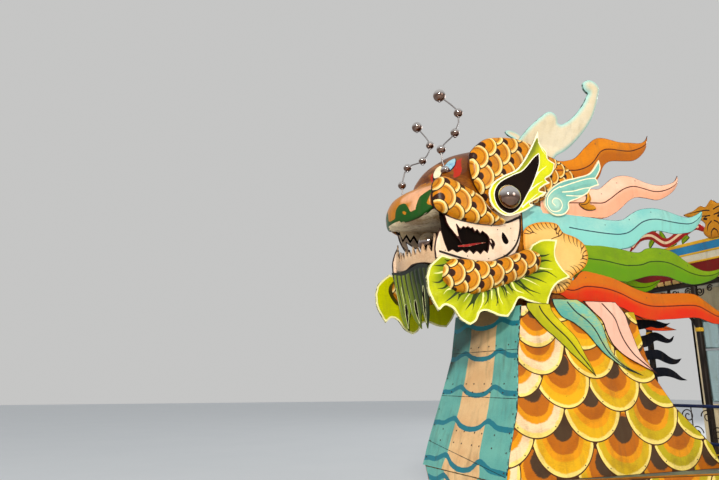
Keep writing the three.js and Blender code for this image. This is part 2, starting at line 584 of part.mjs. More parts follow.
// A door leaf: a frame with a solid foot and, above it, a pane thinner than the frame. Its three knuckles turn on
// a pin just outside the wall's outer face; `hinge` is the pin's place across the boat.
function doorLeaf(name, xLow, [yLow, yHigh], face, outward, hinge) {
  const xHigh = xLow + DOOR.thick;
  const [zLow, zHigh] = [DOOR.low + DOOR.edge, DOOR.high - DOOR.edge];
  const stile = 70;
  const middle = (xLow + xHigh) / 2;
  const light = [yLow + stile, yHigh - stile, zLow + 620, zHigh - stile];
  const pin = face + outward * (HINGE_RADIUS + GAP);
  const knuckles = [zLow + 150, (zLow + zHigh) / 2, zHigh - 150].flatMap((z) => [
    bar([pin, hinge, z - 45], [pin, hinge, z + 45], HINGE_RADIUS, 10),
    block(Math.min(pin, middle), Math.max(pin, middle), Math.min(hinge, Math.sign(hinge) * (Math.abs(hinge) - 12)),
      Math.max(hinge, Math.sign(hinge) * (Math.abs(hinge) - 12)), z - 40, z + 40),
  ]);
  const leaf = block(xLow, xHigh, yLow, yHigh, zLow, zHigh)
    .subtract(block(xLow - 10, middle - 3, ...light))
    .subtract(block(middle + 3, xHigh + 10, ...light));
  piece(name, joined([leaf, ...knuckles]), 'steel', { roughness: 0.35, metalness: 0.8 });
}

const frontLeaf = CABIN_FRONT - DOOR.thick - 2;
const leafSpan = [5, DOOR.half - DOOR.edge];
doorLeaf('front_door_port', frontLeaf, leafSpan, CABIN_FRONT, 1, DOOR.half - 1);
doorLeaf('front_door_starboard', frontLeaf, [-leafSpan[1], -leafSpan[0]], CABIN_FRONT, 1, -DOOR.half + 1);
doorLeaf('rear_door', CABIN_REAR + 2, [REAR_DOOR.outer + DOOR.edge, REAR_DOOR.inner - DOOR.edge], CABIN_REAR, -1,
  REAR_DOOR.outer + 1);

// Helm: a console at the front of the cabin with a spoked wheel that faces aft.
const HELM = { x: -330, y: 930, z: 1680, radius: 200, face: -260 };
piece('helm_console', joined([
  block(HELM.face, 60, 730, 1130, floorTop, 1560),
  block(HELM.face, -60, 730, 1130, 1550, 1840),
]), 'wood');
const rim = new THREE.TorusGeometry(HELM.radius, 14, 6, 20);
rim.rotateY(Math.PI / 2);
rim.translate(HELM.x, HELM.y, HELM.z);
const spokes = [0, 1, 2].map((i) => {
  const angle = (i * 2 * Math.PI) / 3 + Math.PI / 6;
  const tip = [HELM.x, HELM.y + HELM.radius * Math.cos(angle), HELM.z + HELM.radius * Math.sin(angle)];
  return bar([HELM.x, HELM.y, HELM.z], tip, 9, 6);
});
const column = bar([HELM.x - 20, HELM.y, HELM.z], [HELM.face - GAP, HELM.y, HELM.z], 16, 10);
const hub = bar([HELM.x - 25, HELM.y, HELM.z], [HELM.x + 25, HELM.y, HELM.z], 38, 10);
piece('helm_wheel', joined([solid(rim), ...spokes, column, hub]), 'wood');

// Roof

const roofInside = { rear: ROOF_REAR + 30 + GAP, front: ROOF_FRONT - 30 - GAP, half: ROOF_HALF - 30 - GAP };
const ceiling = block(roofInside.rear, roofInside.front, -roofInside.half, roofInside.half, CEILING, CEILING + 30);

// The low hipped roof above the ceiling. `hip` and `inset` are how far its slopes run in from the ends and sides.
const ROOF = { eave: 3430, ridge: 3860, hip: 1300, inset: 1280 };
const roofRing = (share, z) => {
  const [run, over] = [share * ROOF.hip, roofInside.half - share * ROOF.inset];
  return [[roofInside.rear + run, -over], [roofInside.front - run, -over], [roofInside.front - run, over],
    [roofInside.rear + run, over]].map(([x, y]) => new THREE.Vector3(x, y, z));
};
const roofBody = loft([roofRing(0, CEILING + 20), roofRing(0, ROOF.eave), roofRing(1, ROOF.ridge)]);

// Tile rolls that run down the slopes, one in three of the real ones, and the round ridges along the hips and the top.
const TILES = { radius: 36, pitch: 444, first: 100, firstAcross: 218 };
const RIDGES = { radius: 42, top: 45 };
const roofHeight = (share) => ROOF.eave + share * (ROOF.ridge - ROOF.eave);
const roofRolls = [];
for (let x = roofInside.rear + TILES.first; x < roofInside.front; x += TILES.pitch) {
  const share = Math.min(1, (x - roofInside.rear) / ROOF.hip, (roofInside.front - x) / ROOF.hip);
  for (const side of [-1, 1]) {
    roofRolls.push(bar([x, side * roofInside.half, ROOF.eave],
      [x, side * (roofInside.half - share * ROOF.inset), roofHeight(share)], TILES.radius, 6));
  }
}
for (let y = TILES.firstAcross; y < roofInside.half; y += TILES.pitch) {
  const share = Math.min(1, (roofInside.half - y) / ROOF.inset);
  for (const side of [-1, 1]) {
    for (const [end, inward] of [[roofInside.front, -1], [roofInside.rear, 1]]) {
      roofRolls.push(bar([end, side * y, ROOF.eave], [end + inward * share * ROOF.hip, side * y, roofHeight(share)],
        TILES.radius, 6));
    }
  }
}
const roofCorners = roofRing(0, ROOF.eave);
const roofRidges = roofRing(1, ROOF.ridge).map((top, i) => bar(roofCorners[i].toArray(), top.toArray(), RIDGES.radius, 6));
const ridgeEnds = [roofInside.rear + ROOF.hip, roofInside.front - ROOF.hip];
const topRidge = bar([ridgeEnds[0], 0, ROOF.ridge], [ridgeEnds[1], 0, ROOF.ridge], RIDGES.top, 8);
const aboveEave = block(roofInside.rear, roofInside.front, -roofInside.half, roofInside.half, CEILING, ROOF.ridge + 200);
const roofRelief = joined([...roofRolls, ...roofRidges, topRidge]).intersect(aboveEave);
piece('roof', joined([ceiling, roofBody, roofRelief]), 'teal', { roughness: 0.5 });

const fascia = block(ROOF_REAR, ROOF_FRONT, -ROOF_HALF, ROOF_HALF, FASCIA_LOW, FASCIA_HIGH)
  .subtract(block(ROOF_REAR + 30, ROOF_FRONT - 30, -ROOF_HALF + 30, ROOF_HALF - 30, FASCIA_LOW - 9, FASCIA_HIGH + 9));
// Crest over the front fascia: two dragons that face a flaming pearl, cut from sheet.
const dragonBody = [[-1450, 3720, 90], [-1250, 3900, 120], [-1000, 3700, 150], [-760, 3900, 160], [-560, 3740, 150],
  [-380, 3900, 180], [-240, 3960, 120], [-120, 3900, 0]];

function crest(x) {
  const outlines = [
    [[-1480, FASCIA_HIGH - 20], [1480, FASCIA_HIGH - 20], [1440, 3740], [-1440, 3740]],
    ...[-1, 1].map((side) => tongueOutline(dragonBody.map(([y, z, width]) => [side * y, z, width]))),
    smooth([[-110, 3700], [-140, 3900], [-70, 4080], [0, 4260], [70, 4080], [140, 3900], [110, 3700]]),
  ];
  return joined(outlines.map((outline) => {
    const geometry = new THREE.ExtrudeGeometry(drawn(outline), { depth: 25, bevelEnabled: false });
    geometry.rotateX(Math.PI / 2);
    geometry.rotateZ(Math.PI / 2);
    geometry.translate(x - 25, 0, 0);
    return solid(geometry);
  }));
}

piece('fascia', fascia.add(crest(ROOF_FRONT - 1)), 'cream');

// Portal: the posts and header that carry the roof over the porch, with braces.
const POST = { x: 980, wide: 80 };
const portalPosts = [-1290, -480, 480, 1290].map((y) => block(POST.x, POST.x + POST.wide, y - POST.wide / 2,
  y + POST.wide / 2, floorTop, wallTop - 50));
const braces = [-1, 1].flatMap((side) => [
  bar([POST.x + 40, side * 480, 2450], [POST.x + 40, side * 880, 2860], 22),
  bar([POST.x + 40, side * 880, 2850], [POST.x + 40, side * 880, 3060], 22),
]);
piece('portal', joined([
  block(POST.x, POST.x + POST.wide, -1330, 1330, wallTop - 90, wallTop), ...portalPosts, ...braces,
]), 'ink');

// Deck gear

const RAIL_IN = 110; // how far the rails stand in from the sheer

// Posts on the deck at the stations given, with tubes from post to post. Columns: x, y.
function railing(spots, postTop, tubeHeights) {
  const bars = [];
  spots.forEach(([x, y], i) => {
    bars.push(bar([x, y, sheerAt(x).z - 20], [x, y, postTop], 22, 6));
    if (i + 1 === spots.length) return;
    const [nextX, nextY] = spots[i + 1];
    for (const z of tubeHeights) bars.push(bar([x, y, z], [nextX, nextY, z], 18, 6));
  });
  return restingOn(joined(bars), hull, 0, 0, 1);
}

const onSheer = (x, side = 1) => [x, side * (sheerAt(x).half - RAIL_IN)];

// The foredeck's rail runs from the porch to the back of the neck and closes behind it.
const foreStations = [POST.x + POST.wide + 45, 1500, 1950, 2380];
piece('fore_rail', railing([
  ...foreStations.map((x) => onSheer(x)), ...foreStations.slice().reverse().map((x) => onSheer(x, -1)),
], 1500, [960, 1110, 1490]), 'navy', { roughness: 0.4 });

// The stern's rail runs around the aft deck.
const sternStations = [-4600, -5350, -6100];
piece('stern_rail', railing([
  ...sternStations.map((x) => onSheer(x)), ...sternStations.slice().reverse().map((x) => onSheer(x, -1)),
], 1560, [1240, 1550]), 'steel', SHINY);

const { rear, front, half, high, wall } = ENGINE_BOX;
const boxFloor = 760;
const engineCase = block(rear, front, -half, half, boxFloor, high)
  .subtract(block(rear + wall, front - wall, -half + wall, half - wall, boxFloor + wall, high + 10));
piece('engine_box', restingOn(engineCase, hull, 0, 0, 1), 'teal');
piece('engine_lid', block(rear - 20, front + 20, -half - 20, half + 20, high + GAP, high + 26), 'teal');
piece('engine', block(rear + 90, front - 90, -210, 210, boxFloor + wall + GAP, high - 90), 'ink', { metalness: 0.6 });

// Tail: a tapering scaled body that rises from the transom, with flame fins at its end.
const TAIL = [[-5950, 760, 420], [-6350, 1060, 440], [-6700, 1500, 360], [-6760, 2000, 280], [-6560, 2450, 200],
  [-6520, 2800, 130], [-6650, 3000, 60]];
const tailBody = restingOn(plate(tongueOutline(TAIL), [-75, 75]).subtract(block(-6199, -5000, -200, 200, 0, 1640)),
  hull, -1, 0, 1);
const TAIL_FINS = [
  [[-6560, 2960, 120], [-6700, 3150, 110], [-6640, 3400, 80], [-6760, 3620, 0]],
  [[-6600, 2900, 120], [-6860, 3050, 110], [-6980, 3280, 80], [-7180, 3380, 0]],
  [[-6560, 2960, 120], [-6480, 3160, 100], [-6300, 3300, 70], [-6260, 3480, 0]],
];
piece('tail', joined([tailBody, ...TAIL_FINS.map((rows) => plate(tongueOutline(rows), [-15, 15]))]), 'gold');

// Propeller and rudder

const blades = [0, 1, 2].map((i) => {
  const shape = drawn(smooth([[-20, 20], [-75, 90], [-60, 160], [0, 185], [60, 160], [75, 90], [20, 20]], 1));
  const geometry = new THREE.ExtrudeGeometry(shape, { depth: 8, bevelEnabled: false });
  geometry.translate(0, 0, -4);
  geometry.rotateY(Math.PI / 2 + 0.5);
  geometry.rotateX(Math.PI / 2);
  geometry.rotateX((i * 2 * Math.PI) / 3);
  geometry.translate(PROPELLER_X, 0, SHAFT_Z);
  return solid(geometry);
});
const propeller = joined([
  bar([PROPELLER_X - 45, 0, SHAFT_Z], [PROPELLER_X + 45, 0, SHAFT_Z], 38, 12),
  bar([PROPELLER_X, 0, SHAFT_Z], [SHAFT_END - GAP, 0, SHAFT_Z], 24, 12), ...blades,
]);
piece('propeller', propeller, 'bronze', { roughness: 0.3, metalness: 0.9 });
const rudderBlade = [[RUDDER_X + 110, -430], [RUDDER_X + 130, 10], [RUDDER_X - 330, 40], [RUDDER_X - 370, -400]];
piece('rudder', plate(rudderBlade, [-18, 18]).add(bar([RUDDER_X, 0, -300], [RUDDER_X, 0, RUDDER_BOSS - GAP], 30, 12)), 'brown');

export default boat;
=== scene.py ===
import math

import bpy
import numpy as np
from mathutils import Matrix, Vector
from mathutils.geometry import delaunay_2d_cdt


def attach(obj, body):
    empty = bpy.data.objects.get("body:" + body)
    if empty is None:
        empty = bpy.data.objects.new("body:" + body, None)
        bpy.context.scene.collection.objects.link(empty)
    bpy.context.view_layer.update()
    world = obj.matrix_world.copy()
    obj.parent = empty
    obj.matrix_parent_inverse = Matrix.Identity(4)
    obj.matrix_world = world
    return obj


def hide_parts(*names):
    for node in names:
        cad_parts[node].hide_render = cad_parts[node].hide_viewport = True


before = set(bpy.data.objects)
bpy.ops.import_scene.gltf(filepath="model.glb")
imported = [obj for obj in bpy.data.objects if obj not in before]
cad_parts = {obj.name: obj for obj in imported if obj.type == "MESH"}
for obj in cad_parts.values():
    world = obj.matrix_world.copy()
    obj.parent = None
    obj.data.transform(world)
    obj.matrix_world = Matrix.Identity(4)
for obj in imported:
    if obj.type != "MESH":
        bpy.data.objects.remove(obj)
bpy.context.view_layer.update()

side = {"port": 1, "starboard": -1}
rng = np.random.default_rng(7)
fullTurn = 2 * math.pi
far = 9.0  # a gap in metres where no line is near
unpainted = (1, far, 0)  # gap to the edge, gap to ink lines, blend


def hue(code):  # sRGB hex to the linear colour that nodes want
    rgb = [int(code[i:i + 2], 16) / 255 for i in (0, 2, 4)]
    return tuple(c / 12.92 if c <= 0.04045 else ((c + 0.055) / 1.055) ** 2.4 for c in rgb) + (1,)


# Camera and light


def addObject(name, data, where, ahead):
    made = bpy.data.objects.new(name, data)
    made.location = where
    made.rotation_euler = Vector(ahead).to_track_quat("-Z", "Y").to_euler()
    bpy.context.collection.objects.link(made)
    return made


def setCamera():
    s = {"place": (8.3115, 5.184, 1.70), "lens": 30.04, "turn": 22.794, "tilt": 13.676, "film": 36}
    turn, tilt = math.radians(s["turn"]), math.radians(s["tilt"])
    data = bpy.data.cameras.new("portBowCamera")
    data.lens, data.sensor_width, data.sensor_fit = s["lens"], s["film"], "HORIZONTAL"
    ahead = (-math.sin(turn) * math.cos(tilt), -math.cos(turn) * math.cos(tilt), math.sin(tilt))
    bpy.context.scene.camera = addObject("portBowCamera", data, s["place"], ahead)


def areaLight(name, where, aim, size, power, colour):
    data = bpy.data.lights.new(name, "AREA")
    data.shape, data.size, data.energy, data.color = "DISK", size, power, colour
    addObject(name, data, where, Vector(aim) - Vector(where))


def setLight():
    areaLight("keyLight", (15, 15.2, 9.4), (4, 0, 2.5), 2.0, 2700, (1, 0.95, 0.86))
    areaLight("fillLight", (-2, 20, 8), (-1, 0, 2), 9, 620, (1, 0.97, 0.92))
    areaLight("sternLight", (-18, -10, 12), (-2, 0, 1.5), 8, 1300, (1, 0.98, 0.95))
    world = bpy.data.worlds.new("studio")
    world.use_nodes = True
    back = world.node_tree.nodes["Background"].inputs
    back["Color"].default_value = (0.97, 0.97, 0.96, 1)
    back["Strength"].default_value = 0.58
    bpy.context.scene.world = world
    bpy.context.scene.view_settings.view_transform = "Standard"


setCamera()
setLight()


# Shader nodes, all added to the tree that was started last


class Canvas:
    tree = None


def addNode(kind, inputs=None, **settings):
    made = Canvas.tree.nodes.new("ShaderNode" + kind)
    for key, value in settings.items():
        setattr(made, key, value)
    for key, value in (inputs or {}).items():
        put(made.inputs[key], value)
    return made


def put(socket, value):
    if isinstance(value, bpy.types.NodeSocket):
        Canvas.tree.links.new(value, socket)
    else:
        socket.default_value = value


def mixed(factor, a, b, blend="MIX"):
    colours = {6: a, 7: b}
    made = addNode("Mix", {0: factor}, data_type="RGBA", blend_type=blend)
    for index, value in colours.items():
        put(made.inputs[index], hue(value) if isinstance(value, str) else value)
    return made.outputs[2]


def maths(operation, a, b=0.0, clamp=False):
    return addNode("Math", {0: a, 1: b}, operation=operation, use_clamp=clamp).outputs[0]


def times(a, b, clamp=False):
    return maths("MULTIPLY", a, b, clamp)


def plus(a, b, clamp=False):
    return maths("ADD", a, b, clamp)


def less(a, b):
    return maths("SUBTRACT", a, b)


def between(value, low, high, toLow=0.0, toHigh=1.0):
    return addNode("MapRange", {0: value, 1: low, 2: high, 3: toLow, 4: toHigh}).outputs[0]


def noise(vector, scale, detail=3, rough=0.55):
    inputs = {"Vector": vector, "Scale": scale, "Detail": detail, "Roughness": rough}
    return addNode("TexNoise", inputs).outputs[0]


def stretched(x=1, y=1, z=1):
    where = addNode("TexCoord").outputs["Object"]
    return addNode("Mapping", {"Vector": where, "Scale": (x, y, z)}).outputs[0]


def split(vector):
    return addNode("SeparateXYZ", {0: vector}).outputs


def bumped(strength, reach, height):
    return addNode("Bump", {"Strength": strength, "Distance": reach, "Height": height}).outputs[0]


# What a mesh stores as paint: edge gap, line gap and blend, and as second the gap to the light lines.
def stored(name):
    return addNode("Attribute", attribute_name=name).outputs


def startGroup(name, inputs, outputs):
    Canvas.tree = tree = bpy.data.node_groups.new(name, "ShaderNodeTree")
    for label, value in inputs.items():
        tree.interface.new_socket(label, in_out="INPUT", socket_type="NodeSocketFloat").default_value = value
    for label in outputs:
        tree.interface.new_socket(label, in_out="OUTPUT", socket_type="NodeSocketFloat")
    return tree.nodes.new("NodeGroupInput").outputs, tree.nodes.new("NodeGroupOutput").inputs


def useGroup(name, **values):
    made = Canvas.tree.nodes.new("ShaderNodeGroup")
    made.node_tree = bpy.data.node_groups[name]
    for label, value in values.items():
        put(made.inputs[label], value)
    return made.outputs


def brushStrokesGroup():
    given, out = startGroup("brushStrokes", {"Scale": 3.0, "Contrast": 1.0}, ["Tone", "Height"])
    broad = noise(stretched(z=1.6), given["Scale"], 4)
    fine = noise(stretched(1, 2.5, 6), times(given["Scale"], 9), 3, 0.7)
    both = plus(times(broad, 0.62), times(fine, 0.38))
    away = times(less(both, 0.5), times(given["Contrast"], 4.5))
    put(out["Tone"], plus(away, 0.5, True))
    put(out["Height"], fine)


def paintedLinesGroup():
    given, out = startGroup("paintedLines",
                            {"Rim Width": 0.012, "Rim Soft": 0.002, "Edge Line": 0.0, "Wobble": 0.004},
                            ["Rim", "Ink", "Light", "Blend"])
    edge, line, blend = split(stored("paint")["Vector"])
    drift = times(less(noise(stretched(), 22, 2), 0.5), times(given["Wobble"], 2))
    edge = plus(edge, drift)
    put(out["Rim"], between(edge, given["Rim Width"], plus(given["Rim Width"], given["Rim Soft"]), 1, 0))
    outer = between(less(edge, given["Edge Line"]), -0.001, 0.001, 1, 0)
    stroke = between(plus(line, times(drift, 0.5)), -0.0008, 0.0008, 1, 0)
    put(out["Ink"], maths("MAXIMUM", outer, stroke))
    put(out["Light"], between(plus(stored("second")["Fac"], drift), -0.001, 0.001, 1, 0))
    put(out["Blend"], blend)


def weatheringGroup():
    given, out = startGroup("weathering", {"Amount": 0.3}, ["Dirt", "Chips", "Grain"])
    rain = between(noise(stretched(9, 9, 0.9), 1.6, 4, 0.6), 0.48, 0.72)
    cloud = between(noise(stretched(), 1.7, 5, 0.65), 0.40, 0.66)
    put(out["Dirt"], times(times(rain, cloud), given["Amount"]))
    specks = addNode("TexVoronoi", {"Vector": stretched(), "Scale": 9.0}).outputs
    dot = between(specks["Distance"], 0.035, 0.05, 1, 0)
    some = between(split(specks["Color"])[0], 0.45, 0.46, 1, 0)
    scar = between(noise(stretched(), 34, 5, 0.7), 0.70, 0.72)
    chips = maths("MAXIMUM", times(dot, some), times(scar, 0.7))
    put(out["Chips"], times(chips, given["Amount"], True))
    put(out["Grain"], noise(stretched(), 160, 3, 0.6))


brushStrokesGroup()
paintedLinesGroup()
weatheringGroup()

paints = {}


def startMaterial(name):
    paints[name] = material = bpy.data.materials.new(name)
    material.use_nodes = True
    Canvas.tree = material.node_tree
    return Canvas.tree.nodes["Principled BSDF"].inputs


def weathered(shader, colour, brush, dirt, gloss, shine=1.0):
    weather = useGroup("weathering", Amount=dirt)
    colour = mixed(weather["Dirt"], colour, "54452F")
    put(shader["Base Color"], mixed(weather["Chips"], colour, "3A2114"))
    worn = plus(times(brush["Height"], 0.22), gloss - 0.08)
    put(shader["Roughness"], plus(worn, times(weather["Dirt"], 0.35), True))
    shader["Specular IOR Level"].default_value = 0.17 * shine
    shader["Coat Weight"].default_value = 0.06 * shine
    shader["Coat Roughness"].default_value = 0.18
    relief = plus(times(brush["Height"], 0.6), times(weather["Grain"], 0.4))
    put(shader["Normal"], bumped(0.35, 0.002, less(relief, times(weather["Chips"], 0.5))))


# Enamel on a cut sheet: main colour brushed into a shade, a rim along the cut edge, ink and light lines.
def enamel(name, main, shade, other=None, rim=None, ink="1A0C07", light=None, rimWidth=0.012, rimSoft=0.002,
           edgeLine=0.0, gloss=0.3, dirt=0.3, scale=3.0, contrast=1.0, wobble=0.004, shine=1.0):
    shader = startMaterial(name)
    brush = useGroup("brushStrokes", Scale=scale, Contrast=contrast)
    lines = useGroup("paintedLines", **{
        "Rim Width": rimWidth, "Rim Soft": rimSoft, "Edge Line": edgeLine, "Wobble": wobble})
    colour = mixed(brush["Tone"], main, shade)
    if other:
        colour = mixed(lines["Blend"], colour, mixed(times(brush["Tone"], 0.3), other, shade))
    for mask, over in (("Light", light), ("Rim", rim), ("Ink", ink)):
        if over:
            colour = mixed(lines[mask], colour, over)
    weathered(shader, colour, brush, dirt, gloss, shine)


# Scales: a rim, discs of colour as (place of the middle towards the free edge, size, colour) in shares of the
# radius, largest first, and an ink line. The paint attribute holds the gap to the edge and the place in the
# scale. A scale with a value of its own above 0 takes the tint on its first disc, below 0 it takes cream.
def scalePaint(name, rim, discs, tint, ink="24100A", dirt=0.3, edgeLine=0.004):
    soft, worn, cream, gloss = 0.03, "8A4A14", "FBDCB0", 0.3
    shader = startMaterial(name)
    brush = useGroup("brushStrokes", Scale=4.0, Contrast=1.0)
    near, along, across = split(stored("paint")["Vector"])
    own = stored("second")["Fac"]
    drift = times(less(brush["Tone"], 0.5), 0.07)
    colour = rim
    wide = times(across, across)
    for i, (middle, size, fill) in enumerate(discs):
        tall = less(along, middle)
        reach = maths("SQRT", plus(times(tall, tall), wide))
        if i == 0:
            fill = mixed(times(own, 0.75, True), fill, tint)
            fill = mixed(times(own, -1.0, True), fill, cream)
        colour = mixed(between(plus(reach, drift), size, size - soft), colour, fill)
    colour = mixed(between(brush["Tone"], 0.4, 1, 0, 0.3), colour, worn, "MULTIPLY")
    colour = mixed(between(near, edgeLine, edgeLine + 0.0015, 1, 0), colour, ink)
    weathered(shader, colour, brush, dirt, gloss)


# Bare metal; an optional colour is painted on the underside as a painted reflection of the water and the boat.
def metalFinish(name, colour, dark, roughness=0.1, metallic=1.0, paintedReflection=None):
    shader = startMaterial(name)
    brush = useGroup("brushStrokes", Scale=9.0, Contrast=0.8)
    weather = useGroup("weathering", Amount=0.4)
    body = mixed(times(brush["Tone"], 0.35), (*colour, 1), (*dark, 1))
    if paintedReflection:
        # Painted reflection: faces that point down take the given colour.
        up = split(addNode("NewGeometry").outputs["Normal"])[2]
        body = mixed(between(up, 0.30, -0.15), body, (*paintedReflection, 1))
    put(shader["Base Color"], mixed(weather["Dirt"], body, (*dark, 1)))
    shader["Metallic"].default_value = metallic
    put(shader["Roughness"], between(brush["Tone"], 0, 1, roughness, roughness + 0.12))
    put(shader["Normal"], bumped(0.12, 0.001, weather["Grain"]))


def plainPaint(name, main, shade, dirt=0.35, gloss=0.34):
    shader = startMaterial(name)
    brush = useGroup("brushStrokes", Scale=2.5, Contrast=0.9)
    weathered(shader, mixed(brush["Tone"], main, shade), brush, dirt, gloss)


def timber(name, main, dark):
    shader = startMaterial(name)
    warp = times(noise(stretched(0.7, 5, 5), 2.2, 4), 14)
    rings = addNode("TexWave",
                    {"Vector": stretched(0.5, 9, 9), "Scale": 2.0, "Distortion": warp, "Detail": 3.0},
                    bands_direction="Z").outputs["Fac"]
    pores = noise(stretched(4, 90, 90), 3, 2)
    colour = mixed(between(rings, 0.1, 0.9), main, dark)
    colour = mixed(between(pores, 0.52, 0.7, 0, 0.5), colour, dark)
    put(shader["Base Color"], mixed(useGroup("weathering", Amount=0.3)["Dirt"], colour, "2A1A10"))
    put(shader["Roughness"], between(pores, 0.2, 0.8, 0.28, 0.5))
    shader["Coat Weight"].default_value = 0.35
    put(shader["Normal"], bumped(0.3, 0.001, pores))


def clearGlass():
    shader = startMaterial("glass")
    dust = useGroup("weathering", Amount=0.7)
    put(shader["Base Color"], mixed(dust["Dirt"], "DCEBEC", "B9BDB2"))
    put(shader["Roughness"], between(dust["Dirt"], 0, 0.7, 0.02, 0.35))
    shader["Transmission Weight"].default_value = 0.94
    shader["IOR"].default_value = 1.12


# Hull: dark red below the boot top, ochre above, non-slip grey-green deck with welded plate seams.
def hullPaint():
    shader = startMaterial("hull")
    brush = useGroup("brushStrokes", Scale=1.6, Contrast=1.0)
    tone = brush["Tone"]
    where = split(addNode("TexCoord").outputs["Object"])
    up = split(addNode("NewGeometry").outputs["Normal"])[2]
    planks = mixed(between(where[2], 0.03, 0.035), mixed(tone, "6E1A14", "541410"),
                   mixed(tone, "B9761C", "8E5412"))
    seam = between(maths("PINGPONG", where[0], 0.55), 0.004, 0.007, 1, 0)
    deck = mixed(seam, mixed(tone, "6E7F78", "55655F"), "2E3532")
    weathered(shader, mixed(between(up, 0.85, 0.95), planks, deck), brush, 0.7, 0.5)


# Flat drawing: points are (across, up) pairs in metres


def curve(points, spacing=0.02, closed=False):
    p = np.array(points, float)
    count = len(p)
    made = []
    for i in range(count if closed else count - 1):
        b, c = p[i], p[(i + 1) % count]
        a = p[i - 1] if closed or i > 0 else 2 * b - c
        d = p[(i + 2) % count] if closed or i + 2 < count else 2 * c - b
        steps = max(1, round(float(np.linalg.norm((c - b)[:2])) / spacing))
        for t in np.arange(steps) / steps:
            made.append(0.5 * (2 * b + (c - a) * t + (2 * a - 5 * b + 4 * c - d) * t * t
                               + (3 * b - a - 3 * c + d) * t ** 3))
    if not closed:
        made.append(p[-1])
    return np.array(made)


# A closed outline from runs that are each smooth and meet at corners.
def cornered(*runs, spacing=0.02):
    return np.concatenate([curve(run, spacing)[:-1] for run in runs])


def straight(points, spacing=0.02):
    p = list(points)
    return cornered(*zip(p, p[1:] + p[:1]), spacing=spacing)


def rectangle(left, low, right, high, spacing=0.03):
    return straight([(left, low), (right, low), (right, high), (left, high)], spacing)


def closedLine(outline):
    return np.vstack((outline, outline[:1]))


# Distance of each point to the nearest line, less the line's half width, which is the column after its place.
def distances(points, lines, axes=2):
    best = np.full(len(points), far)
    batch = 4000
    for line in lines:
        line = np.asarray(line, float)
        wide = line[:, axes] if line.shape[1] > axes else np.zeros(len(line))
        a, ab = line[:-1, :axes], np.diff(line[:, :axes], axis=0)
        length = np.maximum((ab ** 2).sum(1), 1e-12)
        for start in range(0, len(points), batch):
            p = points[start:start + batch, None, :axes]
            t = np.clip(((p - a) * ab).sum(2) / length, 0, 1)
            gap = np.linalg.norm(p - a - t[..., None] * ab, axis=2) - (wide[:-1] + t * np.diff(wide))
            best[start:start + batch] = np.minimum(best[start:start + batch], gap.min(1))
    return best


def inside(points, polygon):
    x, y = points[:, 0, None], points[:, 1, None]
    a, b = polygon[:, :2], np.roll(polygon[:, :2], -1, axis=0)
    crosses = (a[:, 1] > y) != (b[:, 1] > y)
    at = (b[:, 0] - a[:, 0]) * (y - a[:, 1]) / (b[:, 1] - a[:, 1] + 1e-12) + a[:, 0]
    return ((x < at) & crosses).sum(1) % 2 == 1


# A stroke of the brush: a smooth line whose half width runs from thick to thin.
def stroke(points, thick=0.005, thin=0.001, spacing=0.015):
    line = curve([p[:2] for p in points], spacing)
    share = np.linspace(0, 1, len(line))
    return np.column_stack((line, thick + (thin - thick) * share ** 1.5))


def evenStroke(points, half=0.004, spacing=0.015):
    return stroke(points, half, half, spacing)


def mirrored(points):
    return [(-p[0], *p[1:]) for p in points]


def unit(vector):
    return vector / np.linalg.norm(vector)


def runLengths(line):
    return np.concatenate(([0], np.cumsum(np.linalg.norm(np.diff(line[:, :2], axis=0), axis=1))))


# Angles of a round section, without the last one, which is the first again.
def circle(count):
    return np.linspace(0, fullTurn, count, endpoint=False)


class Shell:
    def __init__(self):
        self.verts, self.faces, self.looks, self.paint, self.second = [], [], [], [], []
        self.count = 0

    def add(self, verts, faces, looks=0, paint=unpainted, second=far):
        verts = np.asarray(verts, float)
        self.faces += [[i + self.count for i in face] for face in faces]
        self.looks += [looks] * len(faces) if isinstance(looks, int) else list(looks)
        self.verts.append(verts)
        self.paint.append(np.broadcast_to(np.asarray(paint, float), (len(verts), 3)))
        self.second.append(np.broadcast_to(np.asarray(second, float), (len(verts),)))
        self.count += len(verts)

    def build(self, name, paintNames, mirror=False, angle=38):
        verts, faces = np.concatenate(self.verts), self.faces
        if mirror:
            verts, faces = verts * (1, -1, 1), [face[::-1] for face in faces]
        mesh = bpy.data.meshes.new(name)
        mesh.from_pydata(verts.tolist(), [], faces)
        for paintName in paintNames.split():
            mesh.materials.append(paints[paintName])
        mesh.polygons.foreach_set("material_index", self.looks)
        mesh.polygons.foreach_set("use_smooth", [True] * len(faces))
        for label, kind, field, values in (("paint", "FLOAT_VECTOR", "vector", self.paint),
                                           ("second", "FLOAT", "value", self.second)):
            layer = mesh.attributes.new(label, kind, "POINT")
            layer.data.foreach_set(field, np.concatenate(values).astype(np.float32).ravel())
        mesh.set_sharp_from_angle(angle=math.radians(angle))
        mesh.validate()
        made = bpy.data.objects.new(name, mesh)
        bpy.context.collection.objects.link(made)
        return made


def fit(piece, nodes, body="boat"):
    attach(piece, body)
    if nodes:
        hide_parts(*nodes)


def fitPair(name, shell, paintNames, nodes):
    for label in side:
        piece = shell.build(f"{name}_{label}", paintNames, label == "starboard")
        fit(piece, [f"{node}_{label}" for node in nodes])


# Places for (across, up, out) of a plate: on a side wall, and on a wall that faces ahead.
def onSide(y):
    return lambda a, b, out: np.column_stack((a, y + out, b))


def onFront(x):
    return lambda a, b, out: np.column_stack((x + out, a, b))


# Paint and relief of a plate with lines on it. Dressing functions take the points and their edge distance.
def lined(ink=(), light=(), relief=None, blend=None):
    def dress(points, edge):
        line, bright = distances(points, ink), distances(points, light)
        mix = blend(points) if blend else np.zeros(len(points))
        out = relief(points, edge, np.minimum(line, bright)) if relief else np.zeros(len(points))
        return out, np.column_stack((edge, line, mix)), bright
    dress.guides = [*ink, *light]
    return dress


def apart(points, x, z):
    return np.hypot(points[:, 0] - x, points[:, 1] - z)


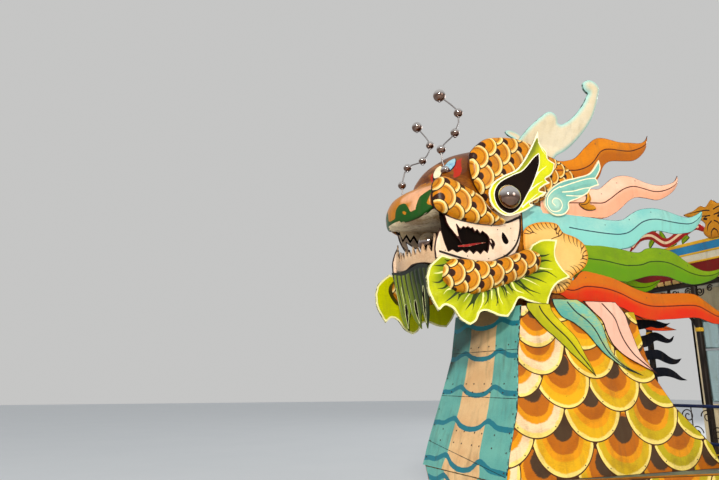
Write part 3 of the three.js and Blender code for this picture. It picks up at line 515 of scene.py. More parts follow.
# Overlapping scales, top ones first. Columns: across, up, radius and, where it isn't down, the free edge's way.
def scaled(scales, lift=0.008, base=None, step=0.003, spacing=0.012, tint=None):
    scales = np.array([(*scale, -math.pi / 2)[:4] for scale in scales], float)
    ways = np.column_stack((np.cos(scales[:, 3]), np.sin(scales[:, 3])))
    own = rng.random(len(scales)) if tint is None else np.array([tint(*s[:3]) for s in scales])
    leastPoints, lipStart = 14, 0.94

    def owners(points):
        owner = np.full(len(points), -1)
        for i, (x, z, radius, _) in reversed(list(enumerate(scales))):
            owner[apart(points, x, z) <= radius + 1e-4] = i
        return owner

    guides = []
    for i, (x, z, radius, _) in enumerate(scales):
        turn = np.linspace(0, fullTurn, max(leastPoints, round(fullTurn * radius / spacing)))
        for grown in (0, step):
            ring = np.column_stack((x + (radius + grown) * np.cos(turn), z + (radius + grown) * np.sin(turn)))
            shown = np.ones(len(ring), bool)
            for upper in scales[:i]:
                shown &= apart(ring, *upper[:2]) >= upper[2] + grown * 0.5
            changes = np.flatnonzero(np.diff(shown)) + 1
            for run, visible in zip(np.split(ring, changes), np.split(shown, changes)):
                if visible[0] and len(run) > 1:
                    guides.append(run)

    def dress(points, edge):
        owner = owners(points)
        held, way = scales[owner], ways[owner]
        spot = (points - held[:, :2]) / held[:, 2:3]
        along = (spot * way).sum(1)
        across = spot[:, 0] * way[:, 1] - spot[:, 1] * way[:, 0]
        share = np.hypot(along, across)
        near = (1 - share) * held[:, 2]
        for i, upper in enumerate(scales):
            gap = np.abs(apart(points, *upper[:2]) - upper[2])
            near = np.where(owner > i, np.minimum(near, gap), near)
        bare = owner < 0
        along, across, share, near = (np.where(bare, 0.0, value) for value in (along, across, share, near))
        lip = np.clip((share - lipStart) / (1 - lipStart), 0, 1)
        out = np.where(bare, 0, lift * (0.25 + 0.75 * share ** 2) - lift * 0.5 * lip)
        if base:
            out = out * np.clip(edge / 0.02, 0, 1) + base(points, edge)
        paint = np.column_stack((np.minimum(near, edge + 0.002), along, across))
        return out, paint, np.where(bare, 0, own[owner])
    dress.guides = guides
    return dress


# A padded face: rises from the edge in a quarter round of the given width.
def padded(crown, width):
    inward = lambda edge: 1 - np.clip(edge / width, 0, 1)
    return lambda points, edge, line=None: crown * np.sqrt(np.clip(1 - inward(edge) ** 2, 0, 1))


# A flat face with a bevelled edge.
def raised(rise, width=0.02):
    return lambda points, edge, line: rise * np.clip(edge / width, 0, 1)


def numbered(items):
    return {item: n for n, item in enumerate(items)}


# A cut sheet with a dressed front. Regions are (outline, look) pairs for parts of the front.
def cutPlate(shell, outline, place, dress=None, thick=0.018, looks=(0, 0), regions=(), spacing=0.016,
             backDress=None):
    rowShare, clear = 0.866, 0.42
    outline = np.asarray(outline)[:, :2]
    dress = dress or lined()
    guides = [g[:, :2] for g in dress.guides] + [closedLine(np.asarray(r[0])[:, :2]) for r in regions]
    low, high = outline.min(0), outline.max(0)
    rows = enumerate(np.arange(low[1], high[1], spacing * rowShare))
    across = lambda i: np.arange(low[0] + (i % 2) * spacing / 2, high[0], spacing)
    grid = np.array([(x, z) for i, z in rows for x in across(i)])
    grid = grid[inside(grid, outline)]
    grid = grid[distances(grid, [closedLine(outline)] + guides) > spacing * clear]
    points, edges = [Vector(p) for p in outline], []
    for guide in guides:
        start = len(points)
        points += [Vector(p) for p in guide]
        edges += [(start + i, start + i + 1) for i in range(len(guide) - 1)]
    points += [Vector(p) for p in grid]
    result = delaunay_2d_cdt(points, edges, [list(range(len(outline)))], 1, 1e-5)
    flat = np.array([tuple(p) for p in result[0]])
    faces = [list(face) for face in result[2]]
    kept = inside(np.array([flat[face].mean(0) for face in faces]), outline)
    faces = [face for face, keep in zip(faces, kept) if keep]
    used = sorted({i for face in faces for i in face})
    at = numbered(used)
    faces, flat = [[at[i] for i in face] for face in faces], flat[used]
    edge = distances(flat, [closedLine(outline)])
    out, paint, second = dress(flat, edge)
    front = place(flat[:, 0], flat[:, 1], out)
    backOut, backPaint, backSecond = np.zeros(len(flat)), paint, second
    if backDress:
        backOut, backPaint, backSecond = backDress(flat, edge)
    back = place(flat[:, 0], flat[:, 1], -thick - backOut)
    a, b, c = (front[i] for i in faces[0])
    base, tip = (place(flat[:1, 0], flat[:1, 1], np.array([reach]))[0] for reach in (0.0, 1.0))
    if np.dot(np.cross(b - a, c - a), tip - base) < 0:
        faces = [face[::-1] for face in faces]
    middles = np.array([flat[face].mean(0) for face in faces])
    look = np.full(len(faces), looks[0])
    for polygon, number in regions:
        look[inside(middles, np.asarray(polygon))] = number
    sides = {pair: True for face in faces for pair in zip(face, face[1:] + face[:1])}
    border = [(i, j) for i, j in sides if (j, i) not in sides]
    rim = sorted({i for pair in border for i in pair})
    shell.add(front, faces, look.tolist(), paint, second)
    shell.add(back, [face[::-1] for face in faces], looks[1], backPaint, backSecond)
    count, at = len(rim), numbered(rim)
    wallPaint = np.column_stack((np.zeros(count), np.full(count, far), paint[rim, 2]))
    wall = [[at[j], at[i], at[i] + count, at[j] + count] for i, j in border]
    shell.add(np.concatenate((front[rim], back[rim])), wall, looks[0], np.tile(wallPaint, (2, 1)))


# A closed tube or ball of rings; rings hold equally many points.
def loft(shell, rings, look=0, paint=unpainted):
    count = len(rings[0])
    verts = np.concatenate(rings)
    faces = [[s * count + i, s * count + (i + 1) % count, (s + 1) * count + (i + 1) % count,
              (s + 1) * count + i] for s in range(len(rings) - 1) for i in range(count)]
    faces += [list(range(count))[::-1], list(range(len(verts) - count, len(verts)))]
    a, b, c = verts[faces[0][:3]]
    if np.dot(np.cross(b - a, c - a), a - rings[0].mean(0)) < 0:
        faces = [face[::-1] for face in faces]
    shell.add(verts, faces, look, paint)


def tube(shell, path, radius, sides=12, look=0):
    path = np.asarray(path, float)
    along = np.gradient(path, axis=0)
    along /= np.linalg.norm(along, axis=1)[:, None]
    up = np.array((0.31, 0.17, 0.94))
    turn = circle(sides)[:, None]
    rings = []
    for point, way, r in zip(path, along, np.broadcast_to(radius, (len(path),))):
        u = unit(np.cross(way, up))
        v = np.cross(way, u)
        up = np.cross(u, way)
        rings.append(point + r * (np.cos(turn) * u + np.sin(turn) * v))
    loft(shell, rings, look)


def rod(shell, start, end, radius, sides=12, look=0):
    tube(shell, [start, end], radius, sides, look)


def ball(shell, centre, radius, look=0, wide=32, high=16):
    turn = circle(wide)
    loft(shell, [np.array(centre) + radius * np.column_stack((
        math.sin(p) * np.cos(turn), math.sin(p) * np.sin(turn), np.full(wide, math.cos(p))))
        for p in np.linspace(0.02, math.pi - 0.02, high + 1)], look)


# Outline between an upper and a lower edge that meet in a tip.
def joined(top, bottom):
    return np.vstack((top, bottom[::-1][1:]))


# Outline of a tapering form from its middle line. Columns of each row: across, up, width.
def bandOutline(rows, spacing=0.02):
    line = curve(rows, spacing)
    way = np.gradient(line[:, :2], axis=0)
    way /= np.linalg.norm(way, axis=1)[:, None]
    reach = np.column_stack((-way[:, 1], way[:, 0])) * np.maximum(line[:, 2:], 0) / 2
    left, right = line[:, :2] + reach, line[:, :2] - reach
    return joined(left, right) if rows[-1][2] == 0 else np.vstack((left, right[::-1]))


# Rows of scales over an area, the first row on top. `free` is the way the free edges point, in degrees.
def scaleRows(outline, radius, free, pitch=0.98, wide=1.5, margin=0.3):
    turn = math.radians(free)
    way, cross = np.array((math.cos(turn), math.sin(turn))), np.array((-math.sin(turn), math.cos(turn)))
    reach, over = outline @ way, outline @ cross
    scales = []
    at, row = reach.min() - radius * 0.4, 0
    while at < reach.max() + radius:
        shift = (row % 2) * wide * radius / 2
        for offset in np.arange(over.min() - shift - radius, over.max() + radius, wide * radius):
            centre = (way * at + cross * offset)[None]
            gap = distances(centre, [closedLine(outline)])[0]
            if inside(centre, outline)[0] or gap < radius * (1 - margin):
                scales.append((*centre[0], radius, turn))
        at += pitch * radius
        row += 1
    return scales


print("tools ready")

# Paints

scalePaint("headScales", "FBDD92", [(0, 0.83, "EDAE3C"), (0, 0.73, "A86208"), (-0.03, 0.66, "CC820A"),
                                    (-0.12, 0.46, "D68208"), (-0.16, 0.32, "351608")], "CE8014")
scalePaint("neckScales", "FBE07A", [(0, 0.90, "E6AC10"), (-0.05, 0.70, "E6960A"), (-0.10, 0.57, "B8640A"),
                                    (-0.24, 0.36, "4A3420")], "9AA414", "4A280C", dirt=0.4, edgeLine=0.005)
scalePaint("hullScales", "A81C14", [(0, 0.86, "D9B04A"), (0, 0.62, "B4821C"), (-0.3, 0.3, "6A4214")], "B88A2A",
           dirt=0.5, edgeLine=0.008)
enamel("lip", "F8DFC6", "ECCAA8", rim="3A1510", rimWidth=0.006, dirt=0.35)
enamel("mouth", "080605", "120A07", dirt=0.1, shine=0.15, gloss=0.6)
enamel("lime", "CACC00", "BABE00", "4A740A", "FBF3B4", "2A3A0A", "F4F09A", rimWidth=0.016)
enamel("flame", "DCDC10", "C6CA08", "66701A", "FFF6D0", light="FFF8DC", rimWidth=0.014, dirt=0.2)
enamel("lidDark", "120A08", "1C100A", dirt=0.1, shine=0.25, gloss=0.5)
enamel("horn", "EADCBE", "DECCA4", rim="A8D6CC", rimWidth=0.004, rimSoft=0.045)
enamel("ear", "8CC4B2", "72B4AA", "BCDCC6", "FDF0C8", "FDF0C8", dirt=0.25)
enamel("fan", "EEB452", "E4A03A", "F4CA7A", "E08E22", "4A1F0C", rimWidth=0.014, rimSoft=0.01, dirt=0.35)
for name, main, shade, other, ink in (("orange", "DC8204", "CA7004", "B45E04", "4A1A0A"),
                                      ("pink", "FFCDB0", "F8BC9C", "F8AC86", "4A1A12"),
                                      ("aqua", "9CD2C6", "7CC6C0", "8CD4C8", "1E3A4A"),
                                      ("green", "80A004", "6C9004", "5E9208", "24400F"),
                                      ("red", "D06E0A", "C86208", "DE2A06", "5A120A")):
    enamel(name, main, shade, other, ink=ink, edgeLine=0.003, dirt=0.35)
enamel("gold", "D8921C", "B8700E", ink="2E140A", edgeLine=0.005, dirt=0.2)
enamel("nose", "CE820E", "B46C0C", "ECB088", ink="0E1A0C", light="1A4E14", dirt=0.35, wobble=0.006)
# The bridge's third colour, dark brown, is painted shade: towards the rear of the bridge and on the brow's inner
# face.
enamel("bridge", "A8620A", "5E2C04", "6A3404", ink="1D0D08", light="B4240C", dirt=0.4, contrast=1.5,
       wobble=0.010)
enamel("leafCream", "FBEFD0", "F0DDB0", edgeLine=0.008, dirt=0.2)
enamel("leafBlue", "A8D4E0", "4A82B8", ink="14203A", edgeLine=0.008, dirt=0.2, contrast=1.6)
enamel("frontLip", "E8C6A0", "CCA47E", ink="1D0D08", dirt=0.4, contrast=1.2)
enamel("beard", "88980C", "66780A", "0C2008", ink="0A1408", light="E4E6A4")
# The third colour of both chest paints is near black: it is the painted shadow of the head on the chest.
enamel("chestTeal", "72BAAC", "5CA8A0", "0E1A1C", ink="10181A", light="1C7C8C", dirt=0.5, wobble=0.006)
enamel("chestBeige", "F6CC94", "E8B67E", "1A1814", ink="10181A", light="1C7C8C", dirt=0.55, wobble=0.006)
enamel("olive", "D8C60C", "BEB60C", "A8A80C", ink="22200A", edgeLine=0.006)
enamel("sea", "74BCA8", "CCC050", "54A498", ink="12262A", edgeLine=0.006, dirt=0.35, contrast=1.5, scale=2.2)
enamel("rose", "FACAB0", "F0B49C", "F4B8A0", ink="3A1612", edgeLine=0.006, dirt=0.35)
enamel("fin", "0A0C12", "141722", ink="05060A", shine=0.3, gloss=0.5)
enamel("gum", "F2DCB6", "B08A5C", gloss=0.45, contrast=1.8)
enamel("waveRed", "B8201A", "8E1612", ink="F3D9A8", light="7FD0D0", dirt=0.4)
enamel("flameCream", "F4E2BC", "E2CC9E", ink="A81C14", light="3FA3AD", dirt=0.4)
enamel("cloud", "F2E6CC", "E2D2B0", "CFE8E2", ink="2B8A98", light="E8C040", dirt=0.45)
enamel("crestRed", "B8201A", "8E1612", ink="F3D0A8", dirt=0.4)
for name, look in {"boardRed": ("7E120E", "640E0C", 0.3), "dentil": ("DEB878", "C89E58", 0.4),
                   "cream": ("EFE0C0", "DCC89E", 0.45), "strakePlain": ("7CC8DC", "5BAECB", 0.5),
                   "corrugated": ("E6D6B4", "CDB88E", 0.6), "boardYellow": ("E8B62C", "CF9A1C", 0.3),
                   "boardBlue": ("2F86B8", "1F6A98", 0.35), "boardGrey": ("DED6BE", "C6BEA6", 0.5),
                   "tileTeal": ("2F8A8E", "1F6A70", 0.55, 0.4), "ceiling": ("E8E4DA", "D6D0C2", 0.3),
                   "iron": ("1A1410", "2A1E16", 0.5, 0.42), "railBlue": ("1A2547", "24345F", 0.4),
                   "boxTeal": ("2E7F86", "236A72", 0.6), "core": ("B9761C", "8E5412", 0.6),
                   "engine": ("2A3A34", "1C2824", 0.7, 0.4)}.items():
    plainPaint(name, *look)
timber("wood", "6A3A1A", "3E1F0E")
timber("slat", "9A6430", "6E4018")
metalFinish("screw", (0.10, 0.08, 0.07), (0.03, 0.02, 0.02), 0.4, 0.6)
metalFinish("aluminium", (0.62, 0.63, 0.65), (0.40, 0.40, 0.42), 0.32)
metalFinish("steel", (0.66, 0.66, 0.68), (0.34, 0.33, 0.33), 0.14)
metalFinish("bronze", (0.60, 0.40, 0.16), (0.26, 0.30, 0.18), 0.30)
# Painted reflection: the chrome's underside is painted dark brown for the boat and water below it.
metalFinish("chrome", (0.86, 0.84, 0.83), (0.42, 0.34, 0.30), 0.04, paintedReflection=(0.20, 0.12, 0.09))
metalFinish("wire", (0.34, 0.32, 0.32), (0.14, 0.11, 0.10), 0.3)
clearGlass()
hullPaint()


# Head, port side; the starboard side is its mirror image

# How far the plates on the sides of the head stand off the centreline.
plateY = {"mane": 0.4583, "roll": 0.4586, "jaw": 0.54}

cheekOutline = curve([(5.58, 3.57), (5.51, 3.64), (5.43, 3.65), (5.31, 3.61), (5.18, 3.56), (5.05, 3.50),
                      (4.98, 3.40), (4.88, 3.33), (4.78, 3.28), (4.83, 3.235), (5.07, 3.22), (5.32, 3.24),
                      (5.50, 3.29), (5.57, 3.34), (5.59, 3.46)], 0.015, True)
browOutline = curve([(5.15, 3.88), (5.12, 3.98), (4.96, 4.12), (4.79, 4.17), (4.57, 4.19), (4.37, 4.14),
                     (4.27, 3.98), (4.32, 3.72), (4.46, 3.50), (4.70, 3.36), (4.90, 3.38), (5.02, 3.50),
                     (5.11, 3.63), (5.15, 3.76)], 0.015, True)
jawRows = [(5.56, 2.70, 0.09), (5.48, 2.69, 0.28), (5.25, 2.68, 0.33), (4.98, 2.725, 0.26), (4.72, 2.815, 0.25),
           (4.53, 2.90, 0.23), (4.46, 2.94, 0.08)]
jawOutline = curve(bandOutline(jawRows, 0.06), 0.015, True)


def scalyRolls():
    s = {"radius": 0.142, "lift": 0.015, "spacing": 0.014}
    shell = Shell()
    dress = scaled(scaleRows(cheekOutline, s["radius"], 150), s["lift"], padded(0.09, 0.14),
                   spacing=s["spacing"])
    cutPlate(shell, cheekOutline, onSide(plateY["roll"] + 0.01), dress, 0.01, spacing=s["spacing"])
    dress = scaled(scaleRows(browOutline, s["radius"], 165), s["lift"], padded(0.066, 0.18),
                   spacing=s["spacing"])
    # Painted shade: the brow's inner face takes the bridge's dark brown in full.
    inner = lined(relief=padded(0.13, 0.2), blend=lambda p: np.ones(len(p)))
    cutPlate(shell, browOutline, onSide(plateY["roll"]), dress, 0.001, (0, 1), spacing=s["spacing"],
             backDress=inner)
    fitPair("brow_scales", shell, "headScales bridge", ["brow"])
    shell = Shell()
    dress = scaled(scaleRows(jawOutline, 0.125, 165, 1.12, 1.36), s["lift"], padded(0.09, 0.15),
                   spacing=s["spacing"])
    cutPlate(shell, jawOutline, onSide(plateY["jaw"]), dress, 0.081, spacing=s["spacing"])
    fitPair("jaw_scales", shell, "headScales", ["jaw_roll"])


def screws(shell, spots, place, look, radius=0.006):
    turn = circle(8)
    for a, b in spots:
        rings = [place(a + r * radius * np.cos(turn), b + r * radius * np.sin(turn), np.full(len(turn), h))
                 for r, h in ((1.0, -0.002), (1.0, 0.0045), (0.5, 0.006))]
        loft(shell, rings, look)


# The two mouth plates were cut by hand, so their fangs differ. Each fang: front edge, tip, rear edge.
fangs = {"port": [(5.46, 3.28), (5.42, 3.18), (5.34, 3.09), (5.275, 3.015), (5.30, 3.09), (5.325, 3.195)],
         "starboard": [(5.50, 3.29), (5.47, 3.20), (5.42, 3.12), (5.365, 3.075), (5.375, 3.14), (5.40, 3.21)]}


def mouthPlate(label):
    fang, place = fangs[label], onSide(plateY["mane"])
    teeth = [fang[5], (5.28, 3.145), (5.25, 3.18), (5.225, 3.165), (5.20, 3.185), (5.165, 3.165), (5.145, 3.18),
             (5.12, 3.135), (5.095, 3.165), (5.06, 3.125), (5.035, 3.155), (4.985, 3.125), (4.965, 3.10),
             (4.955, 3.05), (4.915, 3.01), (4.935, 3.085), (4.905, 3.06), (4.90, 3.04), (4.925, 2.99),
             (4.962, 3.06), (4.975, 2.99), (4.99, 2.95), (5.03, 2.975), (5.07, 2.93), (5.11, 2.965),
             (5.15, 2.925), (5.19, 2.965), (5.23, 2.93), (5.27, 2.955), (5.33, 2.925), (5.38, 2.95),
             (5.425, 2.925)]
    tusk = [(5.425, 2.925), (5.465, 3.02), (5.50, 3.145), (5.54, 3.06), (5.565, 2.96), (5.56, 2.85)]
    outline = cornered([(5.585, 3.47), (5.575, 3.36), (5.52, 3.31), *fang[:4]], fang[3:],
                       *zip(teeth, teeth[1:]), tusk[:3], tusk[2:],
                       [tusk[-1], (5.25, 2.80), (4.90, 2.80), (4.77, 2.85), (4.66, 2.97), (4.59, 3.12),
                        (4.565, 3.33), (4.565, 3.48)], [(4.565, 3.48), (5.585, 3.47)], spacing=0.013)
    almond = curve([(4.815, 3.12), (4.80, 3.17), (4.76, 3.13), (4.735, 3.08), (4.765, 3.05), (4.80, 3.07)],
                   0.01, True)
    seam = [evenStroke([(5.585, 3.36), (5.50, 3.30), (5.40, 3.285), (5.18, 3.26), (4.95, 3.26), (4.75, 3.275),
                        (4.59, 3.345)], 0.012),
            evenStroke([(4.58, 3.36), (4.585, 3.23), (4.635, 3.08), (4.735, 2.965), (4.86, 2.895),
                        (5.02, 2.845), (5.25, 2.865), (5.52, 2.915)], 0.011)]
    shell = Shell()
    cutPlate(shell, outline, place, lined(seam, relief=raised(0.003, 0.01)), regions=[(almond, 1)])
    spots = [(5.16, 3.225), (4.93, 3.22), (4.70, 3.22), (4.66, 3.10), (4.80, 2.94), (4.98, 2.89), (5.22, 2.895),
             (5.46, 2.93), (4.86, 3.19)]
    screws(shell, spots, place, 2)
    fit(shell.build(f"mouth_lips_{label}", "lip mouth screw", label == "starboard"), [f"mouth_plate_{label}"])
    # Lining behind the opening: black outside, brushed gums inside. The far side's lower edge is jagged.
    shell = Shell()
    left, right, low, top = 4.63, 5.50, 2.905, 3.345
    lift = 0 if label == "port" else 0.03
    jags = [(5.585 - 0.045 * i, 3.20 if i % 2 else 3.265) for i in range(22)]
    gum = straight([(4.6, 3.5), (5.6, 3.5)] + [(x, z + lift) for x, z in jags], 0.03)
    if label == "port":
        lining = [(right, low), (5.47, 3.16), (right, top), (left, top), (left, low)]
        red = bandOutline([(5.30, 2.99, 0.012), (5.20, 3.005, 0.022), (5.10, 3.03, 0.016), (4.98, 3.055, 0)],
                          0.012)
        cutPlate(shell, red, onSide(0.434), None, 0.002, (2, 2), spacing=0.008)
    else:
        lining = [(left, top), (right, top)] + [p for p in jags if 4.64 < p[0] < 5.49]
    lining = straight(lining)
    cutPlate(shell, lining, onSide(0.430), None, 0.008, (1, 1))
    cutPlate(shell, lining, lambda a, b, out: onSide(0.420)(a, b, -out), None, 0.008, (1, 1), [(gum, 0)])
    fit(shell.build(f"mouth_lining_{label}", "gum mouth crestRed", label == "starboard"), [])


def frillPlate():
    tips = [(5.56, 2.86), (5.72, 2.64), (5.605, 2.345), (5.285, 2.235), (4.87, 2.325), (4.40, 2.44),
            (4.085, 2.755), (4.22, 3.125), (4.53, 3.05), (4.64, 2.89), (5.0, 2.76)]
    outline = cornered([tips[0], (5.63, 2.80), (5.69, 2.74), tips[1]], [tips[1], (5.70, 2.50), tips[2]],
                       [tips[2], (5.54, 2.40), (5.46, 2.375), (5.38, 2.28), tips[3]],
                       [tips[3], (5.22, 2.275), (5.17, 2.355), (5.09, 2.369), (4.98, 2.334), tips[4]],
                       [tips[4], (4.80, 2.408), (4.73, 2.508), (4.63, 2.485), (4.51, 2.464), tips[5]],
                       [tips[5], (4.36, 2.56), (4.26, 2.68), tips[6]],
                       [tips[6], (4.18, 2.83), (4.26, 2.96), tips[7]], [tips[7], (4.40, 3.11), tips[8]],
                       tips[8:10], tips[9:11], [tips[10], tips[0]], spacing=0.016)
    dark, bright = [], []
    middle = np.array((5.02, 2.82))
    for i, turn in enumerate(np.radians(np.arange(62, -196, -6.2))):
        way = np.array((math.cos(turn), math.sin(turn)))
        reach = np.linspace(0.05, 1.4, 110)[:, None] * way + middle
        outside, ends = np.nonzero(~inside(reach, jawOutline))[0], np.nonzero(~inside(reach, outline))[0]
        later = ends[ends > outside[0]]
        start, end = reach[outside[0]] - way * 0.03, reach[later[0]] if len(later) else reach[-1]
        length = np.linalg.norm(end - start) * (0.42 + 0.34 * rng.random())
        bend = np.array((-way[1], way[0])) * length * rng.uniform(-0.16, 0.16)
        run = [start, start + way * length * 0.5 + bend, start + way * length]
        (dark if i % 3 else bright).append(stroke(run, 0.012 if i % 3 else 0.008, 0.001, 0.02))

    def fade(points):
        return np.clip(1 - distances(points, [closedLine(jawOutline)]) / 0.12, 0, 1) * 0.9

    def pleat(points, edge, line):
        turn = np.arctan2(points[:, 1] - middle[1], points[:, 0] - middle[0])
        return 0.010 * np.sin(turn * 22) * np.clip(edge / 0.05, 0, 1) - 0.003 * (line < 0) + 0.012
    shell = Shell()
    cutPlate(shell, outline, onSide(0.552), lined(dark, bright, pleat, fade), 0.01, spacing=0.018,
             backDress=lined())
    fitPair("frill_leaf", shell, "lime", ["frill"])


def eyePiece():
    flame = cornered([(4.35, 4.285), (4.38, 4.22), (4.41, 4.17), (4.51, 4.00), (4.65, 3.82), (4.81, 3.73),
                      (4.94, 3.64), (5.00, 3.54), (4.99, 3.43), (4.92, 3.35), (4.80, 3.31), (4.62, 3.37),
                      (4.45, 3.47)], [(4.45, 3.47), (4.52, 3.475), (4.41, 3.54), (4.285, 3.62)],
                     [(4.285, 3.62), (4.39, 3.625), (4.33, 3.68), (4.245, 3.725)],
                     [(4.245, 3.725), (4.30, 3.76), (4.24, 3.80), (4.19, 3.86), (4.162, 3.95)],
                     [(4.162, 3.95), (4.25, 3.99), (4.26, 4.06), (4.34, 4.15), (4.35, 4.285)], spacing=0.014)
    drop = cornered([(4.37, 4.02), (4.44, 3.96), (4.58, 3.81), (4.71, 3.74), (4.86, 3.65), (4.93, 3.56),
                     (4.94, 3.47), (4.89, 3.38), (4.78, 3.34), (4.67, 3.40), (4.57, 3.54), (4.47, 3.70),
                     (4.38, 3.90), (4.37, 4.02)], spacing=0.012)
    halo = evenStroke(closedLine(drop), 0.010, 0.02)
    rays = [stroke(r, 0.006, 0.001) for r in (
        [(4.62, 3.42), (4.50, 3.52), (4.40, 3.60)], [(4.52, 3.60), (4.42, 3.68), (4.34, 3.73)],
        [(4.45, 3.74), (4.37, 3.83), (4.28, 3.90)], [(4.36, 4.15), (4.31, 4.06), (4.27, 4.02)])]

    def olive(points):
        shade = np.array([(4.36, 4.25), (4.45, 4.05), (4.62, 3.86), (4.80, 3.74), (4.93, 3.66)])
        return np.clip(1.2 - distances(points, [shade]) / 0.08, 0, 1) * np.clip((points[:, 1] - 3.55) * 8, 0, 1)
    shell = Shell()
    cutPlate(shell, flame, onSide(0.554), lined([], [halo] + rays, raised(0.008, 0.03), olive), 0.0102, (0, 0),
             [(drop, 1)], 0.013)
    fitPair("eye_flame", shell, "flame lidDark", ["eye"])
    shell = Shell()
    s = {"centre": (4.79, 0.561, 3.50), "radius": 0.126, "bulge": 0.128}
    turn = circle(40)
    flat = np.column_stack((np.cos(turn), np.zeros(len(turn)), np.sin(turn)))
    loft(shell, [s["centre"] + s["radius"] * math.sin(p) * flat + np.array((0, s["bulge"] * math.cos(p), 0))
                 for p in np.linspace(math.pi / 2, 0.02, 14)])
    fitPair("eye_ball", shell, "chrome", ["eye"])


def earPiece():
    outline = cornered([(3.48, 4.115), (3.47, 4.02), (3.54, 3.90)], [(3.54, 3.90), (3.525, 3.85), (3.51, 3.82)],
                       [(3.51, 3.82), (3.57, 3.80), (3.62, 3.78)], [(3.62, 3.78), (3.68, 3.71), (3.74, 3.67)],
                       [(3.74, 3.67), (3.84, 3.62), (3.95, 3.57), (3.96, 3.50), (4.03, 3.43), (4.15, 3.41),
                        (4.25, 3.47), (4.27, 3.55), (4.22, 3.65), (4.12, 3.74), (3.99, 3.81), (3.81, 3.87),
                        (3.62, 3.95), (3.48, 4.115)], spacing=0.012)
    ribs = [evenStroke(r, 0.0055) for r in (
        [(4.04, 3.73), (3.87, 3.80), (3.68, 3.87), (3.545, 3.90)], [(4.02, 3.68), (3.87, 3.71), (3.72, 3.76),
        (3.62, 3.78)], [(3.97, 3.65), (3.83, 3.66), (3.74, 3.675)],
        [(4.04, 3.74), (4.14, 3.68), (4.215, 3.60), (4.225, 3.51), (4.17, 3.455), (4.08, 3.47), (4.035, 3.53),
         (4.06, 3.59), (4.125, 3.60), (4.165, 3.555), (4.13, 3.52)])]
    cup = lambda p, e, l: 0.012 * np.clip(l / 0.03, 0, 1) + 0.004
    glow = lambda p: np.clip(1.3 - apart(p, 4.12, 3.54) / 0.1, 0, 1)
    shell = Shell()
    cutPlate(shell, outline, onSide(0.4680), lined(ribs, relief=cup, blend=glow), 0.0085, spacing=0.012)
    fitPair("ear_leaf", shell, "ear", [])
    curl = curve([(3.81, 3.575), (3.745, 3.60), (3.70, 3.645), (3.695, 3.70), (3.72, 3.725), (3.66, 3.72),
                  (3.63, 3.65), (3.655, 3.595), (3.60, 3.585), (3.575, 3.545), (3.66, 3.52), (3.75, 3.53)],
                 0.01, True)
    swirl = stroke([(3.79, 3.565), (3.71, 3.585), (3.665, 3.635), (3.665, 3.69)], 0.005, 0.002, 0.01)
    shell = Shell()
    cutPlate(shell, curl, onSide(0.470), lined([swirl], relief=padded(0.014, 0.03)), 0.0105, spacing=0.01)
    fitPair("ear_curls", shell, "gold", [])


def cheekFan():
    outline = curve([(4.56, 3.12), (4.53, 3.23), (4.41, 3.30), (4.25, 3.33), (4.12, 3.32), (4.05, 3.24),
                     (3.89, 3.20), (3.78, 3.13), (3.745, 3.01), (3.79, 2.91), (3.88, 2.84), (3.96, 2.79),
                     (4.00, 2.72), (4.05, 2.66), (4.13, 2.61), (4.26, 2.60), (4.40, 2.64), (4.54, 2.9)], 0.014,
                    True)
    ticks = []
    for i in range(4, len(outline) - 44, 4):
        way = outline[(i + 1) % len(outline)] - outline[i - 1]
        inward = unit(np.array((-way[1], way[0])))
        if not inside((outline[i] + inward * 0.02)[None], outline)[0]:
            inward = -inward
        length = 0.06 + 0.05 * rng.random()
        start = outline[i] + inward * 0.01
        run = [start, start + inward * length * 0.6 + way * 0.5, start + inward * length + way * 1.6]
        ticks.append(stroke(run, 0.006, 0.001, 0.01))
    ticks.append(stroke([(4.05, 3.25), (4.10, 3.20), (4.20, 3.16), (4.25, 3.12)], 0.006, 0.003))
    glow = lambda p: np.clip(distances(p, [closedLine(outline)]) / 0.10, 0, 1)
    shell = Shell()
    cutPlate(shell, outline, onSide(0.4685), lined(ticks, relief=raised(0.007, 0.03), blend=glow), 0.009,
             spacing=0.014)
    fitPair("cheek_fan", shell, "fan", [])


def hornPiece():
    s = {"bend": 4.20, "lean": 0.45, "y": 0.402}
    outline = cornered([(4.40, 4.04), (4.49, 4.20), (4.475, 4.235), (4.39, 4.35), (4.28, 4.46), (4.20, 4.525),
                        (4.13, 4.53), (4.065, 4.495), (4.045, 4.445)],
                       [(4.045, 4.445), (3.994, 4.435), (3.91, 4.48), (3.815, 4.575), (3.755, 4.68),
                        (3.72, 4.78)],
                       [(3.72, 4.78), (3.75, 4.79), (3.80, 4.82), (3.815, 4.87), (3.76, 4.905), (3.68, 4.90),
                        (3.60, 4.86), (3.584, 4.79), (3.584, 4.67), (3.605, 4.55), (3.67, 4.42), (3.76, 4.30),
                        (3.86, 4.20), (3.99, 4.12), (4.08, 4.03), (4.22, 4.00), (4.40, 4.04)], spacing=0.016)
    lines = [stroke([(4.30, 4.25), (4.20, 4.33), (4.08, 4.36), (4.02, 4.33)], 0.004, 0.002)]

    def place(a, b, out):
        return np.column_stack((a, s["y"] + out + np.maximum(0, b - s["bend"]) * s["lean"], b))
    shell = Shell()
    cutPlate(shell, outline, place, lined([], lines, padded(0.020, 0.07)), 0.022, spacing=0.02,
             backDress=lined(relief=padded(0.009, 0.07)))
    fitPair("horn_blade", shell, "horn", ["horn"])


